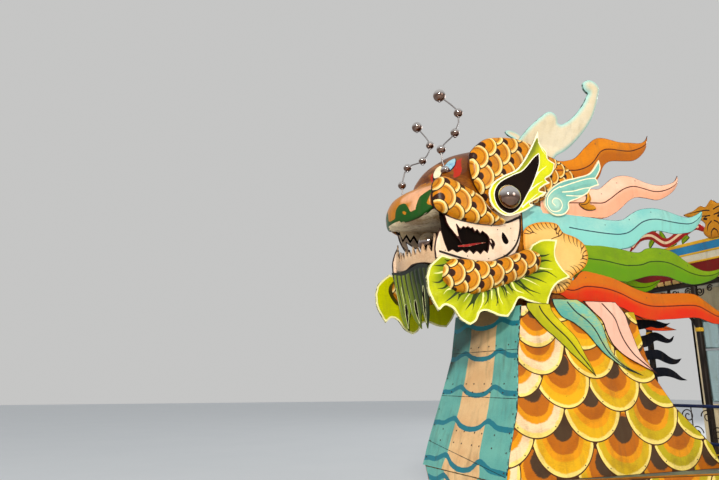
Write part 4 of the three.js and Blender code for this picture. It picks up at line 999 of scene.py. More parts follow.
# Flame tongues of the mane. Each has its upper edge, its lower edge and the tip where they meet.
tongues = {"orange": ([(4.30, 3.98), (4.06, 4.03), (3.93, 4.05), (3.78, 4.11), (3.62, 4.26), (3.47, 4.38),
                       (3.33, 4.41), (3.12, 4.40), (2.94, 4.42), (2.79, 4.44), (2.70, 4.49), (2.655, 4.555)],
                      [(4.30, 3.74), (4.00, 3.82), (3.72, 3.83), (3.55, 3.86), (3.46, 3.94), (3.40, 4.05),
                       (3.34, 4.11), (3.25, 4.15), (3.05, 4.18), (2.91, 4.21), (2.79, 4.29), (2.70, 4.40),
                       (2.655, 4.555)]), "pink": (
               [(4.30, 3.68), (4.00, 3.70), (3.63, 3.77), (3.49, 3.79), (3.40, 3.85), (3.28, 3.94),
                (3.15, 3.99), (2.99, 4.00), (2.78, 3.96), (2.60, 3.95), (2.44, 3.98), (2.31, 4.035),
                (2.245, 4.115)],
               [(4.30, 3.40), (3.90, 3.44), (3.49, 3.46), (3.34, 3.51), (3.21, 3.59), (3.07, 3.70),
                (2.95, 3.76), (2.80, 3.77), (2.62, 3.77), (2.47, 3.83), (2.33, 3.925), (2.25, 4.03),
                (2.245, 4.115)]), "aqua": (
               [(4.52, 3.50), (4.35, 3.50), (3.98, 3.47), (3.47, 3.45), (3.21, 3.47), (3.06, 3.55),
                (2.92, 3.62), (2.73, 3.66), (2.54, 3.66), (2.36, 3.63), (2.20, 3.61), (2.09, 3.63),
                (1.99, 3.675), (1.905, 3.725)],
               [(4.52, 3.16), (4.2, 3.16), (3.80, 3.13), (3.34, 3.13), (3.16, 3.16), (3.03, 3.22), (2.87, 3.34),
                (2.68, 3.40), (2.44, 3.39), (2.27, 3.41), (2.12, 3.45), (2.00, 3.54), (1.92, 3.65),
                (1.905, 3.725)]), "green": (
               [(4.30, 3.14), (3.75, 3.14), (3.49, 3.16), (3.04, 3.12), (2.87, 3.18), (2.67, 3.20),
                (2.47, 3.17), (2.29, 3.08), (2.12, 3.01), (1.98, 2.99), (1.83, 3.01), (1.65, 3.06)],
               [(4.30, 2.86), (3.81, 2.85), (3.29, 2.78), (3.11, 2.81), (2.87, 2.87), (2.61, 2.88),
                (2.44, 2.84), (2.18, 2.82), (1.85, 2.91), (1.65, 3.06)]),
           "red": ([(4.30, 2.76), (3.99, 2.74), (3.83, 2.85), (3.67, 2.85), (3.46, 2.82), (3.28, 2.77),
                    (3.09, 2.71), (2.90, 2.68), (2.64, 2.69), (2.38, 2.71), (2.20, 2.70), (2.03, 2.62),
                    (1.92, 2.56), (1.70, 2.46), (1.485, 2.405)],
                   [(4.30, 2.62), (4.13, 2.59), (4.01, 2.54), (3.82, 2.53), (3.56, 2.54), (3.33, 2.50),
                    (3.18, 2.44), (2.94, 2.39), (2.61, 2.41), (2.25, 2.44), (2.08, 2.41), (1.96, 2.385),
                    (1.72, 2.385), (1.485, 2.405)])}


def evenly(line, count):
    gaps = runLengths(line)
    at = np.linspace(0, gaps[-1], count)
    return np.column_stack([np.interp(at, gaps, line[:, i]) for i in range(2)])


# A flame tongue with a drawn middle line that starts at `begin`, and the two halves in different shades.
def tongue(shell, upper, lower, place, thick, ridge, ink=0.006, spacing=0.018, begin=2):
    count, tail = 60, 50
    top, bottom = curve(upper, spacing), curve(lower, spacing)
    middle = (evenly(top, count) + evenly(bottom, count)) / 2
    line = np.column_stack((middle, np.interp(np.arange(count), (tail, count - 1), (ink, 0.002))))[begin:-1]

    def across(points):
        near = np.argmin(((points[:, None] - middle[None]) ** 2).sum(2), axis=1)
        way = middle[np.minimum(near + 1, count - 1)] - middle[np.maximum(near - 1, 0)]
        over = points - middle[near]
        turn = way[:, 0] * over[:, 1] - way[:, 1] * over[:, 0]
        down = np.where(turn * np.sign(middle[0, 0] - middle[-1, 0]) > 0, 1.0, -1.0)
        return 0.5 + 0.5 * np.clip(np.linalg.norm(over, axis=1) * down / 0.05, -1, 1)

    def rise(points, edge, line):
        gap = np.maximum(line + ink, 0)
        return 0.002 + ridge * np.clip(edge / (edge + gap + 1e-6), 0, 1) ** 0.8 * np.clip(edge / 0.02, 0, 1)
    cutPlate(shell, joined(top, bottom), place, lined([line], relief=rise, blend=across), thick,
             spacing=spacing)


def maneTongues():
    back, ridge = 0.4403, 0.008
    lifts = {"orange": 0.0150, "pink": 0.0140, "aqua": 0.0125, "green": 0.0140, "red": 0.0150}
    for name, (upper, lower) in tongues.items():
        shell = Shell()
        lift = lifts[name] - ridge
        tongue(shell, upper, lower, onSide(back + lift), lift, 0.020, begin=12 if name == "aqua" else 4)
        spots = [((upper[k][0] + lower[k][0]) / 2 + 0.05, upper[k][1] * 0.8 + lower[k][1] * 0.2)
                 for k in (3, 5, 7)]
        screws(shell, spots, onSide(back + lifts[name]), 1)
        fitPair(f"mane_{name}", shell, f"{name} screw", ["mane"])
    # Scales of the temple behind the eye, and plain sheet under the roots.
    temple = cornered([(4.56, 4.02), (4.40, 4.10), (4.16, 4.06), (4.00, 4.01), (3.86, 3.91), (3.86, 3.84),
                       (4.12, 3.72), (4.21, 3.64), (4.28, 3.56), (4.56, 3.44)], [(4.56, 3.44), (4.56, 4.02)],
                      spacing=0.015)
    shell = Shell()
    dress = scaled(scaleRows(temple, 0.10, 175), 0.010, spacing=0.012)
    cutPlate(shell, temple, onSide(0.462), dress, 0.0215, spacing=0.014)
    fitPair("temple_scales", shell, "headScales", [])
    root = straight([(4.54, 2.64), (4.54, 3.44), (4.28, 3.50), (4.0, 3.5), (3.92, 3.25), (3.95, 2.64)], 0.03)
    shell = Shell()
    cutPlate(shell, root, onSide(0.4475), None, 0.0072, spacing=0.03)
    fitPair("mane_root", shell, "aqua", [])


headHalf = 0.44


def bulge(y):
    return 1 - (y / headHalf) ** 2


# Profiles of the head's inner forms. Columns: x, z, x added on the centreline, z added there.
snoutProfile = [(4.6, 3.36, 0, 0), (5.0, 3.36, 0.03, -0.04), (5.5, 3.36, 0.10, -0.10),
                (5.58, 3.36, 0.18, -0.11), (5.59, 3.44, 0.20, -0.06), (5.57, 3.51, 0.18, -0.01),
                (5.50, 3.575, 0.17, 0), (5.36, 3.645, 0.11, 0.04), (5.31, 3.67, 0.13, 0.11),
                (5.24, 3.71, 0.13, 0.17), (5.10, 3.78, 0.13, 0.21), (4.95, 3.87, 0.10, 0.22),
                (4.6, 4.05, 0, 0.18)]
skullProfile = [(4.5997, 2.44, 0, 0), (4.5997, 4.05, 0, 0.18), (4.35, 4.06, 0, 0.18), (4.12, 3.98, 0, 0.12),
                (3.96, 3.76, 0, 0.06), (3.9, 3.25, 0, 0), (3.93, 2.44, 0, 0)]


def acrossHead(profile, stations, sharp=False, spacing=0.02):
    if sharp:
        line = np.array(profile)
        sides = zip(line, np.roll(line, -1, axis=0))
        line = np.concatenate([np.linspace(a, b, max(2, round(float(np.linalg.norm((b - a)[:2])) / spacing)),
                                           endpoint=False) for a, b in sides])
    else:
        line = curve(profile, spacing)
    drop = lambda y: np.where(line[:, 3] < 0, 1 - (y / headHalf) ** 4, bulge(y))
    return [np.column_stack((line[:, 0] + line[:, 2] * bulge(y), np.full(len(line), y),
                             line[:, 1] + line[:, 3] * drop(y))) for y in stations]


def snoutTop(x, y):
    line = curve(snoutProfile[4:])[::-1]
    return np.array([np.interp(px, line[:, 0] + line[:, 2] * bulge(py), line[:, 1] + line[:, 3] * bulge(py))
                     for px, py in zip(x, y)])


# Painted strokes of the snout, port side. Columns: x, y, z, half width.
snoutStrokes = {"green": [[(5.725, 0.245, 3.335, 0.022), (5.745, 0.205, 3.385, 0.034),
                           (5.77, 0.15, 3.385, 0.044), (5.775, 0.12, 3.33, 0.046), (5.745, 0.17, 3.285, 0.040)],
                          [(5.79, 0.0, 3.258, 0.036), (5.76, 0.09, 3.262, 0.046), (5.71, 0.20, 3.272, 0.052),
                           (5.66, 0.30, 3.295, 0.056), (5.59, 0.37, 3.33, 0.058), (5.50, 0.43, 3.36, 0.058)],
                          [(5.575, 0.44, 3.53, 0.010), (5.60, 0.42, 3.485, 0.030), (5.635, 0.385, 3.43, 0.046),
                           (5.65, 0.36, 3.35, 0.052), (5.60, 0.40, 3.325, 0.052)]],
                "ink": [[(5.80, 0.0, 3.232, 0.012), (5.75, 0.12, 3.232, 0.013), (5.69, 0.22, 3.238, 0.015),
                         (5.63, 0.31, 3.262, 0.015), (5.56, 0.40, 3.312, 0.015), (5.50, 0.44, 3.35, 0.013),
                         (5.0, 0.44, 3.36, 0.012)]],
                "pink": [[(5.735, 0.17, 3.47, 0.02), (5.70, 0.25, 3.485, 0.045), (5.66, 0.34, 3.465, 0.045),
                          (5.685, 0.32, 3.385, 0.035), (5.70, 0.28, 3.34, 0.02)],
                         [(5.70, 0.25, 3.49, 0.035), (5.64, 0.33, 3.515, 0.045), (5.57, 0.385, 3.555, 0.03)]],
                "red": [[(5.445, 0.23, 3.67, 0.016), (5.42, 0.19, 3.75, 0.022), (5.39, 0.20, 3.80, 0.018),
                         (5.32, 0.21, 3.87, 0.008)],
                        [(5.285, 0.43, 3.69, 0.030), (5.23, 0.37, 3.79, 0.040), (5.17, 0.29, 3.91, 0.030),
                         (5.10, 0.26, 3.97, 0.006)],
                        [(5.13, 0.44, 3.74, 0.004), (5.05, 0.38, 3.87, 0.014), (4.96, 0.29, 3.99, 0.004)]]}


def snoutPiece():
    rings = acrossHead(snoutProfile, np.linspace(-headHalf, headHalf, 65), spacing=0.015)
    points = np.concatenate(rings)
    nostril = {"centre": (5.66, 0.30, 3.41), "swell": 0.016, "reach": 0.09}
    for sign in (1, -1):
        away = points - np.array(nostril["centre"]) * (1, sign, 1)
        swell = nostril["swell"] * np.exp(-(away ** 2).sum(1) / nostril["reach"] ** 2)
        points = points + swell[:, None] * np.array((0.6, sign * 0.35, 0.3))
    folded = np.column_stack((points[:, 0], np.abs(points[:, 1]), points[:, 2]))
    gaps = {key: distances(folded, [curve(line) for line in lines], 3) for key, lines in snoutStrokes.items()}
    onBridge = points[:, 0] - 0.5 * (points[:, 2] - 3.6) < 5.42
    # The blend is the pink strokes on the nose; on the bridge it is painted shade, darker brown towards the
    # brow.
    pink = np.where(onBridge, np.clip((5.22 - points[:, 0]) / 0.15, 0, 1),
                    np.clip(1 - gaps["pink"] / 0.04, 0, 1))
    shell = Shell()
    loft(shell, np.split(points, len(rings)), 0, np.column_stack((np.ones(len(points)), gaps["ink"], pink)))
    shell.second[-1] = np.where(onBridge, gaps["red"], gaps["green"])
    lip = np.array(snoutStrokes["ink"][0][:-1])
    behindLip = folded[:, 0] < np.interp(folded[:, 1], lip[:, 1], lip[:, 0])
    for n, face in enumerate(shell.faces[:-2]):
        a, b, c = points[face[:3]]
        way = np.cross(b - a, c - a)
        under = way[2] < -0.5 * np.linalg.norm(way) and behindLip[face[0]]
        shell.looks[n] = 2 if under else 1 if onBridge[face[0]] and a[2] > 3.45 else 0
    shell.looks[-2:] = [1, 1]
    fit(shell.build("snout_skin", "nose bridge gum", angle=50), ["snout"])
    # Small painted leaves on the bridge.
    onSnout = lambda a, b, out: np.column_stack((a, b, snoutTop(a, b) + 0.006 + out))
    leaves = {"leafCream": [(5.42, 0.25), (5.42, 0.20), (5.36, 0.17), (5.31, 0.19), (5.34, 0.27), (5.39, 0.30)],
              "leafBlue": [(5.345, 0.28), (5.30, 0.23), (5.20, 0.19), (5.15, 0.22), (5.22, 0.31), (5.31, 0.34)]}
    for name, edge in leaves.items():
        shell = Shell()
        for sign in (1, -1):
            leaf = curve([(x, y * sign) for x, y in edge], 0.012, True)
            cutPlate(shell, leaf, onSnout, lined(relief=raised(0.008, 0.03)), 0.012, spacing=0.014)
        fit(shell.build(f"bridge_{name}", name), [])
    shell = Shell()
    loft(shell, acrossHead(skullProfile, np.linspace(-headHalf, headHalf, 33), True, 0.06))
    fit(shell.build("skull_skin", "bridge", angle=50), ["skull"])


def jawPiece():
    shell = Shell()
    jawProfile = [(4.6, 2.62, 0, 0), (5.4, 2.66, 0.09, 0), (5.52, 2.78, 0.1, 0), (5.52, 2.87, 0.1, 0),
                  (4.6, 2.87, 0, 0)]
    loft(shell, acrossHead(jawProfile, np.linspace(-headHalf, headHalf, 29), True, 0.08))
    s = {"teeth": 12, "root": 2.935, "gap": 0.006, "low": 3.01, "high": 3.03}
    along = np.linspace(-headHalf, headHalf, s["teeth"] + 1)
    edge = []
    for i, (a, b) in enumerate(zip(along[:-1], along[1:])):
        tall = {0: 3.06, 1: 3.14, 11: 3.10}.get(i, s["high"] if i % 2 else s["low"])
        edge += [(a + s["gap"], s["root"]), ((a + b) / 2 - s["gap"], tall), (b - s["gap"], s["root"])]
    lower = curve([(0.44, 2.79), (0.40, 2.79), (0.32, 2.815), (0.24, 2.83), (0.11, 2.835), (0.02, 2.81),
                   (-0.06, 2.80), (-0.21, 2.82), (-0.33, 2.85), (-0.44, 2.855)], 0.014)
    outline = straight(edge + [tuple(q) for q in lower], 0.014)
    cutPlate(shell, outline, lambda a, b, out: np.column_stack((5.52 + 0.1 * bulge(a) + out, a, b)),
             lined([evenStroke(lower, 0.016)], relief=raised(0.007)), 0.016, (1, 0))
    fit(shell.build("jaw_front", "mouth frontLip"), ["lower_jaw"])
    shell = Shell()
    path = curve([(4.64, 2.90, 0.15), (4.86, 2.93, 0.16), (5.06, 2.925, 0.15), (5.18, 2.96, 0.10),
                  (5.245, 3.02, 0.03)])
    turn = circle(20)
    loft(shell, [np.column_stack((np.full(len(turn), x), w * np.cos(turn), z + 0.028 * np.sin(turn)
                                  - 0.014 * np.cos(turn * 2) * (w > 0.05))) for x, z, w in path])
    fit(shell.build("tongue", "red"), [])
    shell = Shell()
    pearl = np.array((5.35, -0.04, 3.12))
    ball(shell, pearl, 0.108, wide=40, high=24)
    tube(shell, [pearl - (0, 0, down) for down in (0.24, 0.17, 0.09)], (0.026, 0.016, 0.016))
    fit(shell.build("pearl_ball", "chrome"), ["pearl"])


def beardPiece():
    tips = [(0.025, 2.21), (0.275, 2.21), (0.39, 2.205)]
    outline = cornered([(-0.335, 2.84), (-0.29, 2.75), (-0.225, 2.60), (-0.165, 2.46), (-0.09, 2.31), tips[0]],
                       [tips[0], (0.03, 2.30), (0.075, 2.40)], [(0.075, 2.40), (0.15, 2.31), tips[1]],
                       [tips[1], (0.27, 2.30), (0.29, 2.38)], [(0.29, 2.38), (0.34, 2.30), tips[2]],
                       [tips[2], (0.42, 2.34), (0.425, 2.60), (0.425, 2.79)],
                       [(0.425, 2.79), (0.24, 2.825), (-0.06, 2.80), (-0.335, 2.84)], spacing=0.012)
    # The gaps between the strands are painted black as painted shadow, with light outlines.
    shadowGaps = [bandOutline(rows, 0.012) for rows in (
        [(-0.03, 2.47, 0.02), (-0.02, 2.43, 0.045), (0.0, 2.34, 0.04), (0.02, 2.24, 0)],
        [(0.165, 2.49, 0.02), (0.175, 2.45, 0.045), (0.20, 2.37, 0.04), (0.245, 2.27, 0)],
        [(0.33, 2.60, 0.015), (0.335, 2.52, 0.035), (0.35, 2.38, 0.03), (0.375, 2.26, 0)])]
    dark = [stroke([(x, 2.83), (x + 0.03, 2.70), (x + 0.09, 2.54), (x + 0.16, 2.36)], 0.014, 0.002) for x in
            (-0.30, -0.22, -0.13, -0.04, 0.06, 0.14, 0.22, 0.30, 0.37)]
    # Painted shadow: a wide dark band along the top of the beard, under the lip.
    dark.append(evenStroke([(-0.32, 2.84), (-0.06, 2.79), (0.24, 2.81), (0.42, 2.78)], 0.022))
    bright = [evenStroke(closedLine(slot), 0.0065, 0.02) for slot in shadowGaps]
    bright += [stroke([(x, 2.66), (x + 0.05, 2.52), (x + 0.10, 2.38), (x + 0.13, 2.27)], 0.005, 0.001)
               for x in (-0.235, -0.12, 0.0)]
    relief = lambda p, e, l: 0.005 * np.clip(np.minimum(e, l) / 0.02, 0, 1)
    shade = lambda p: np.clip((p[:, 0] + 0.06) * 3.6 + (p[:, 1] - 2.62) * 2, 0, 1)
    shell = Shell()
    cutPlate(shell, outline, onFront(5.632), lined(dark, bright, relief, shade), 0.0115, (0, 0),
             [(q, 1) for q in shadowGaps], 0.012)
    fit(shell.build("beard_leaves", "beard mouth"), ["beard"])


feelerRows = {"port": [(5.33, 0.30, 3.79, 0.048), (5.37, 0.30, 4.01, 0.046), (5.20, 0.30, 4.22, 0.046),
                       (5.15, 0.30, 4.45, 0.048), (5.37, 0.30, 4.60, 0.064)],
              "starboard": [(5.51, -0.30, 3.80, 0.044), (5.44, -0.30, 4.01, 0.044), (5.25, -0.30, 4.12, 0.044),
                            (5.15, -0.30, 4.32, 0.046), (5.31, -0.30, 4.51, 0.058)]}


def feelers():
    for label, rows in feelerRows.items():
        shell = Shell()
        rows = np.array(rows)
        x, y = rows[0, :2]
        foot = np.array((x, y, snoutTop([x], [y])[0]))
        tube(shell, curve(np.vstack((foot, rows[:, :3]))), 0.0075, 10, 1)
        tube(shell, [foot, foot + (0, 0, 0.018), foot + (0, 0, 0.03)], (0.028, 0.024, 0.014), 12, 1)
        for x, y, z, r in rows:
            ball(shell, (x, y, z), r, wide=36, high=20)
            rod(shell, (x, y, z - r - 0.006), (x, y, z - r + 0.006), 0.014, 10, 1)
        fit(shell.build(f"feeler_balls_{label}", "chrome wire"), [f"feeler_{label}"])


# Neck. Columns: height, front x, rear x, half width.
neckLines = np.array([(0.90, 5.10, 2.49, 0.700), (1.12, 5.04, 2.57, 0.685), (1.50, 4.91, 3.00, 0.660),
                      (1.77, 4.84, 3.15, 0.606), (2.00, 4.79, 3.20, 0.560), (2.4397, 4.72, 3.30, 0.560)])
neckScaleRows = [(0.27, ((4.56, 2.55), (4.02, 2.55), (3.48, 2.55))),
                 (0.28, ((4.84, 2.30), (4.30, 2.30), (3.75, 2.30), (3.20, 2.30))),
                 (0.30, ((4.57, 2.05), (4.00, 2.04), (3.44, 2.02))),
                 (0.315, ((5.18, 1.80), (4.56, 1.80), (3.93, 1.77), (3.33, 1.73), (2.8, 1.73))),
                 (0.33, ((4.86, 1.60), (4.34, 1.50), (3.72, 1.465), (3.10, 1.49))),
                 (0.345, ((5.32, 1.36), (4.72, 1.25), (4.06, 1.20), (3.32, 1.15), (2.70, 1.18))),
                 (0.35, ((5.09, 1.02), (4.44, 0.91), (3.73, 0.87), (3.03, 0.90), (2.35, 0.90))),
                 (0.36, ((5.3, 0.64), (4.70, 0.60), (3.98, 0.58), (3.3, 0.6), (2.62, 0.60)))]


def neckAt(z, column):
    return np.interp(z, neckLines[:, 0], neckLines[:, column])


def neckTint(x, z, r):
    return -0.9 if x > 4.5 else float(np.clip((3.9 - x) * 0.8 + (2.0 - z) * 0.15 + rng.random() * 0.2, 0, 0.9))


def neckPieces():
    low, high = neckLines[0, 0], neckLines[-1, 0]
    scales = [(x, z + r, r) for r, row in neckScaleRows for x, z in row]
    outline = straight([(front, z) for z, front in neckLines[:, :2]]
                       + [(rear, z) for z, rear in neckLines[::-1, [0, 2]]], 0.03)
    flank = lambda lift: lambda a, b, out: np.column_stack((a, neckAt(b, 3) + lift + out, b))
    shell = Shell()
    cutPlate(shell, outline, flank(0.008), scaled(scales, step=0.004, spacing=0.02, tint=neckTint), 0.0074,
             spacing=0.024)
    holes = np.array([(x + r * way, z - r * 0.72) for x, z, r in scales for way in (-0.6, 0.6)])
    screws(shell, holes[inside(holes, outline)], flank(0.013), 1)
    fitPair("neck_scale_plates", shell, "neckScales screw", ["neck_scales"])

    half = lambda z: neckAt(z, 3) + 0.0132
    heights = np.linspace(low, high, 52)
    across, foot = np.linspace(-half(high), half(high), 38)[1:-1], np.linspace(0.70, -0.70, 40)
    edges = [np.column_stack((sign * half(heights), heights)) for sign in (-1, 1)]
    outline = np.vstack((edges[0], np.column_stack((across, np.full(len(across), high))), edges[1][::-1],
                         np.column_stack((foot, np.full(len(foot), low)))))
    bands = []
    for z, dip in ((2.33, 0.06), (2.03, 0.07), (1.69, 0.08), (1.38, 0.085), (1.03, 0.10)):
        bands.append(evenStroke([(-0.72, z - 0.06), (-0.60, z - 0.05), (-0.48, z - 0.05), (-0.36, z - 0.01),
                                 (-0.28, z), (-0.16, z - dip * 0.7), (0.0, z - dip), (0.16, z - dip * 0.75),
                                 (0.27, z), (0.35, z - 0.01), (0.46, z - 0.05), (0.58, z - 0.055),
                                 (0.72, z - 0.06)], 0.024, 0.03))
    seams = [evenStroke([(-0.7, left), (0.7, right)], 0.0028, 0.04)
             for left, right in ((2.04, 2.03), (1.60, 1.59), (1.14, 0.95))]
    edge = [(0.29, 0.86), (0.27, 1.1), (0.25, 1.5), (0.235, 1.9), (0.22, 2.2), (0.21, 2.5)]
    panel = curve(mirrored(edge) + edge[::-1], 0.04, True)

    # Painted shadow of the head on the chest under the jaw, deepest at the top of the starboard side.
    def headShadow(points):
        start = np.interp(points[:, 0], (-0.6, -0.45, -0.3, 0, 0.26, 0.38), (1.72, 1.95, 2.05, 2.16, 2.26, 2.6))
        return np.clip((points[:, 1] - start) / 0.10, 0, 1) * 0.8
    chest = lambda lift: lambda a, b, out: np.column_stack((neckAt(b, 1) + lift + out, a, b))
    groove = lambda p, e, l: 0.002 - 0.0015 * (l < 0)
    shell = Shell()
    # The blend here is the painted shadow of the head, mixed towards the chest paints' near-black colour.
    cutPlate(shell, outline, chest(0.010), lined(seams, bands, groove, headShadow), 0.0094, (0, 0), [(panel, 1)],
             0.024)
    spots = [(s * half(z) * 0.95, z) for z in np.arange(0.98, 2.4, 0.16) for s in (-1, 1)]
    spots += [(y, z) for z in (1.16, 1.27, 1.64, 1.72, 2.08) for y in (-0.46, -0.2, -0.06, 0.12, 0.24, 0.44)]
    screws(shell, spots, chest(0.012), 2, 0.007)
    fit(shell.build("chest_skin", "chestTeal chestBeige screw"), ["chest_plate"])


lockEdges = {"olive": ([(4.66, 2.47), (4.66, 2.42), (4.58, 2.33), (4.48, 2.24), (4.30, 2.11), (4.12, 1.96),
                        (3.93, 1.79)],
                       [(4.39, 2.47), (4.35, 2.38), (4.24, 2.28), (4.11, 2.17), (4.03, 2.05), (3.97, 1.92),
                        (3.93, 1.79)]), "sea": (
                 [(4.36, 2.52), (4.33, 2.44), (4.25, 2.35), (4.12, 2.30), (3.96, 2.20), (3.85, 2.09),
                  (3.72, 1.98), (3.54, 1.87), (3.32, 1.80)],
                 [(4.05, 2.53), (3.97, 2.49), (3.87, 2.42), (3.76, 2.30), (3.71, 2.14), (3.66, 2.03),
                  (3.53, 1.90), (3.32, 1.80)]),
             "rose": ([(3.98, 2.52), (3.86, 2.42), (3.75, 2.33), (3.70, 2.20), (3.62, 2.08), (3.44, 1.96),
                       (3.13, 1.82)],
                      [(3.56, 2.53), (3.45, 2.42), (3.41, 2.31), (3.36, 2.18), (3.30, 2.04), (3.22, 1.92),
                       (3.13, 1.82)])}


def lockPieces():
    for i, (name, (front, rear)) in enumerate(lockEdges.items()):
        shell = Shell()
        y = 0.5789 + 0.003 * i
        place = lambda a, b, out: np.column_stack((a, y + out + np.maximum(0, 2.0 - b) * 0.21, b))
        tongue(shell, front, rear, place, 0.006, 0.012, 0.0075, 0.016)
        fitPair(f"lock_{name}", shell, name, ["locks"])


# Dark fins behind the neck: upper and lower edges that meet in an upturned, blunt tip.
backFins = [([(3.20, 2.42), (2.82, 2.435), (2.56, 2.45), (2.42, 2.449), (2.31, 2.44), (2.20, 2.42),
              (2.12, 2.43)],
             [(3.20, 2.30), (2.82, 2.31), (2.58, 2.34), (2.44, 2.37), (2.34, 2.36), (2.24, 2.37), (2.12, 2.43)]),
            ([(3.18, 2.21), (2.82, 2.23), (2.55, 2.27), (2.46, 2.30), (2.38, 2.31), (2.29, 2.285),
              (2.21, 2.245), (2.15, 2.24), (2.09, 2.275)],
             [(3.18, 2.10), (2.82, 2.10), (2.52, 2.145), (2.45, 2.19), (2.37, 2.215), (2.28, 2.20),
              (2.20, 2.19), (2.13, 2.215), (2.09, 2.275)]),
            ([(3.14, 2.05), (2.80, 2.07), (2.51, 2.10), (2.39, 2.11), (2.30, 2.085), (2.20, 2.03),
              (2.11, 2.005), (2.01, 2.015)],
             [(3.14, 1.94), (2.80, 1.96), (2.49, 1.995), (2.38, 2.00), (2.27, 1.965), (2.17, 1.945),
              (2.08, 1.96), (2.01, 2.015)]),
            ([(3.10, 1.86), (2.76, 1.88), (2.48, 1.90), (2.35, 1.91), (2.24, 1.90), (2.14, 1.86), (2.05, 1.80),
              (1.955, 1.765)],
             [(3.10, 1.74), (2.76, 1.77), (2.43, 1.80), (2.30, 1.81), (2.18, 1.795), (2.06, 1.765),
              (1.955, 1.765)])]


def backFinPiece():
    shell = Shell()
    for upper, lower in backFins:
        dress, back = lined(relief=padded(0.006, 0.03)), lined(relief=padded(0.006, 0.03))
        cutPlate(shell, joined(curve(upper), curve(lower)), onSide(0.007), dress, 0.014, spacing=0.024,
                 backDress=back)
    heights, wide = (2.42, 2.0, 1.85, 1.72), 0.09
    edge = straight([(neckAt(z, 2) - 0.0005, z) for z in heights]
                    + [(neckAt(z, 2) - wide, z) for z in heights[::-1]], 0.03)
    cutPlate(shell, edge, onSide(0.012), None, 0.024, spacing=0.03)
    fit(shell.build("back_fin_flames", "fin"), ["back_fins"])


scalyRolls()
for label in side:
    mouthPlate(label)
frillPlate()
snoutPiece()
jawPiece()
beardPiece()
feelers()
eyePiece()
earPiece()
cheekFan()
hornPiece()
maneTongues()
print("head made")
neckPieces()
lockPieces()
backFinPiece()
print("neck made")


# Boat

# Side of the hull. Columns: x, half breadth and height of the chine, half breadth and height of the top.
hullLines = np.array([
    (-6.2, 0.88, 0.2, 1.12, 0.8), (-5.7, 0.98, 0.15, 1.26, 0.76), (-4.72, 1.12, 0.07, 1.4, 0.7),
    (-4.25, 1.12, -0.3, 1.45, 0.7), (-2.5, 1.18, -0.32, 1.5, 0.7), (0, 1.18, -0.32, 1.5, 0.7),
    (1.1, 1.07, -0.32, 1.39, 0.7), (1.7, 0.96, -0.3, 1.24, 0.78), (2.45, 0.82, -0.27, 1.02, 0.8997),
    (3.4, 0.7, -0.18, 0.86, 0.8997), (4.2, 0.61, -0.01, 0.76, 0.8997), (4.7, 0.57, 0.21, 0.71, 0.8997),
    (5.0, 0.56, 0.47, 0.69, 0.8997), (5.1, 0.58, 0.68, 0.685, 0.8997)])
deckZ = 0.7003


def hullAt(x):
    return [np.interp(x, hullLines[:, 0], column) for column in hullLines.T[1:]]


def onHull(lift):
    def place(a, b, out):
        footY, footZ, topY, topZ = hullAt(a)
        return np.column_stack((a, footY + (topY - footY) * (b - footZ) / (topZ - footZ) + lift + out, b))
    return place


# A box whose long edges and ends are bevelled.
def beam(shell, low, high, look=0, bevel=0.006):
    low, high = np.minimum(low, high), np.maximum(low, high)
    axis = int(np.argmax(high - low))
    (a0, b0), (a1, b1) = np.delete(low, axis), np.delete(high, axis)
    cut = min(bevel, (a1 - a0) / 3, (b1 - b0) / 3)
    corners = np.array([(a0 + cut, b0), (a1 - cut, b0), (a1, b0 + cut), (a1, b1 - cut),
                        (a1 - cut, b1), (a0 + cut, b1), (a0, b1 - cut), (a0, b0 + cut)])
    inward = np.sign(corners - corners.mean(0))
    ends = ((low[axis], cut), (low[axis] + cut, 0), (high[axis] - cut, 0), (high[axis], cut))
    loft(shell, [np.insert(corners - inward * share, axis, at, axis=1) for at, share in ends], look)


def beams(shell, rows, look=0, bevel=0.006):
    for low, high in rows:
        beam(shell, low, high, look, bevel)


# Bars of a frame, as pairs of (across, up) corners.
def frameBars(left, low, right, high, wide, foot):
    return [((left, low), (left + wide, high)), ((right - wide, low), (right, high)),
            ((left, low), (right, low + foot)), ((left, high - wide), (right, high))]


def strip(xs, low, high):
    return np.vstack((np.column_stack((xs, low)), np.column_stack((xs, high))[::-1]))


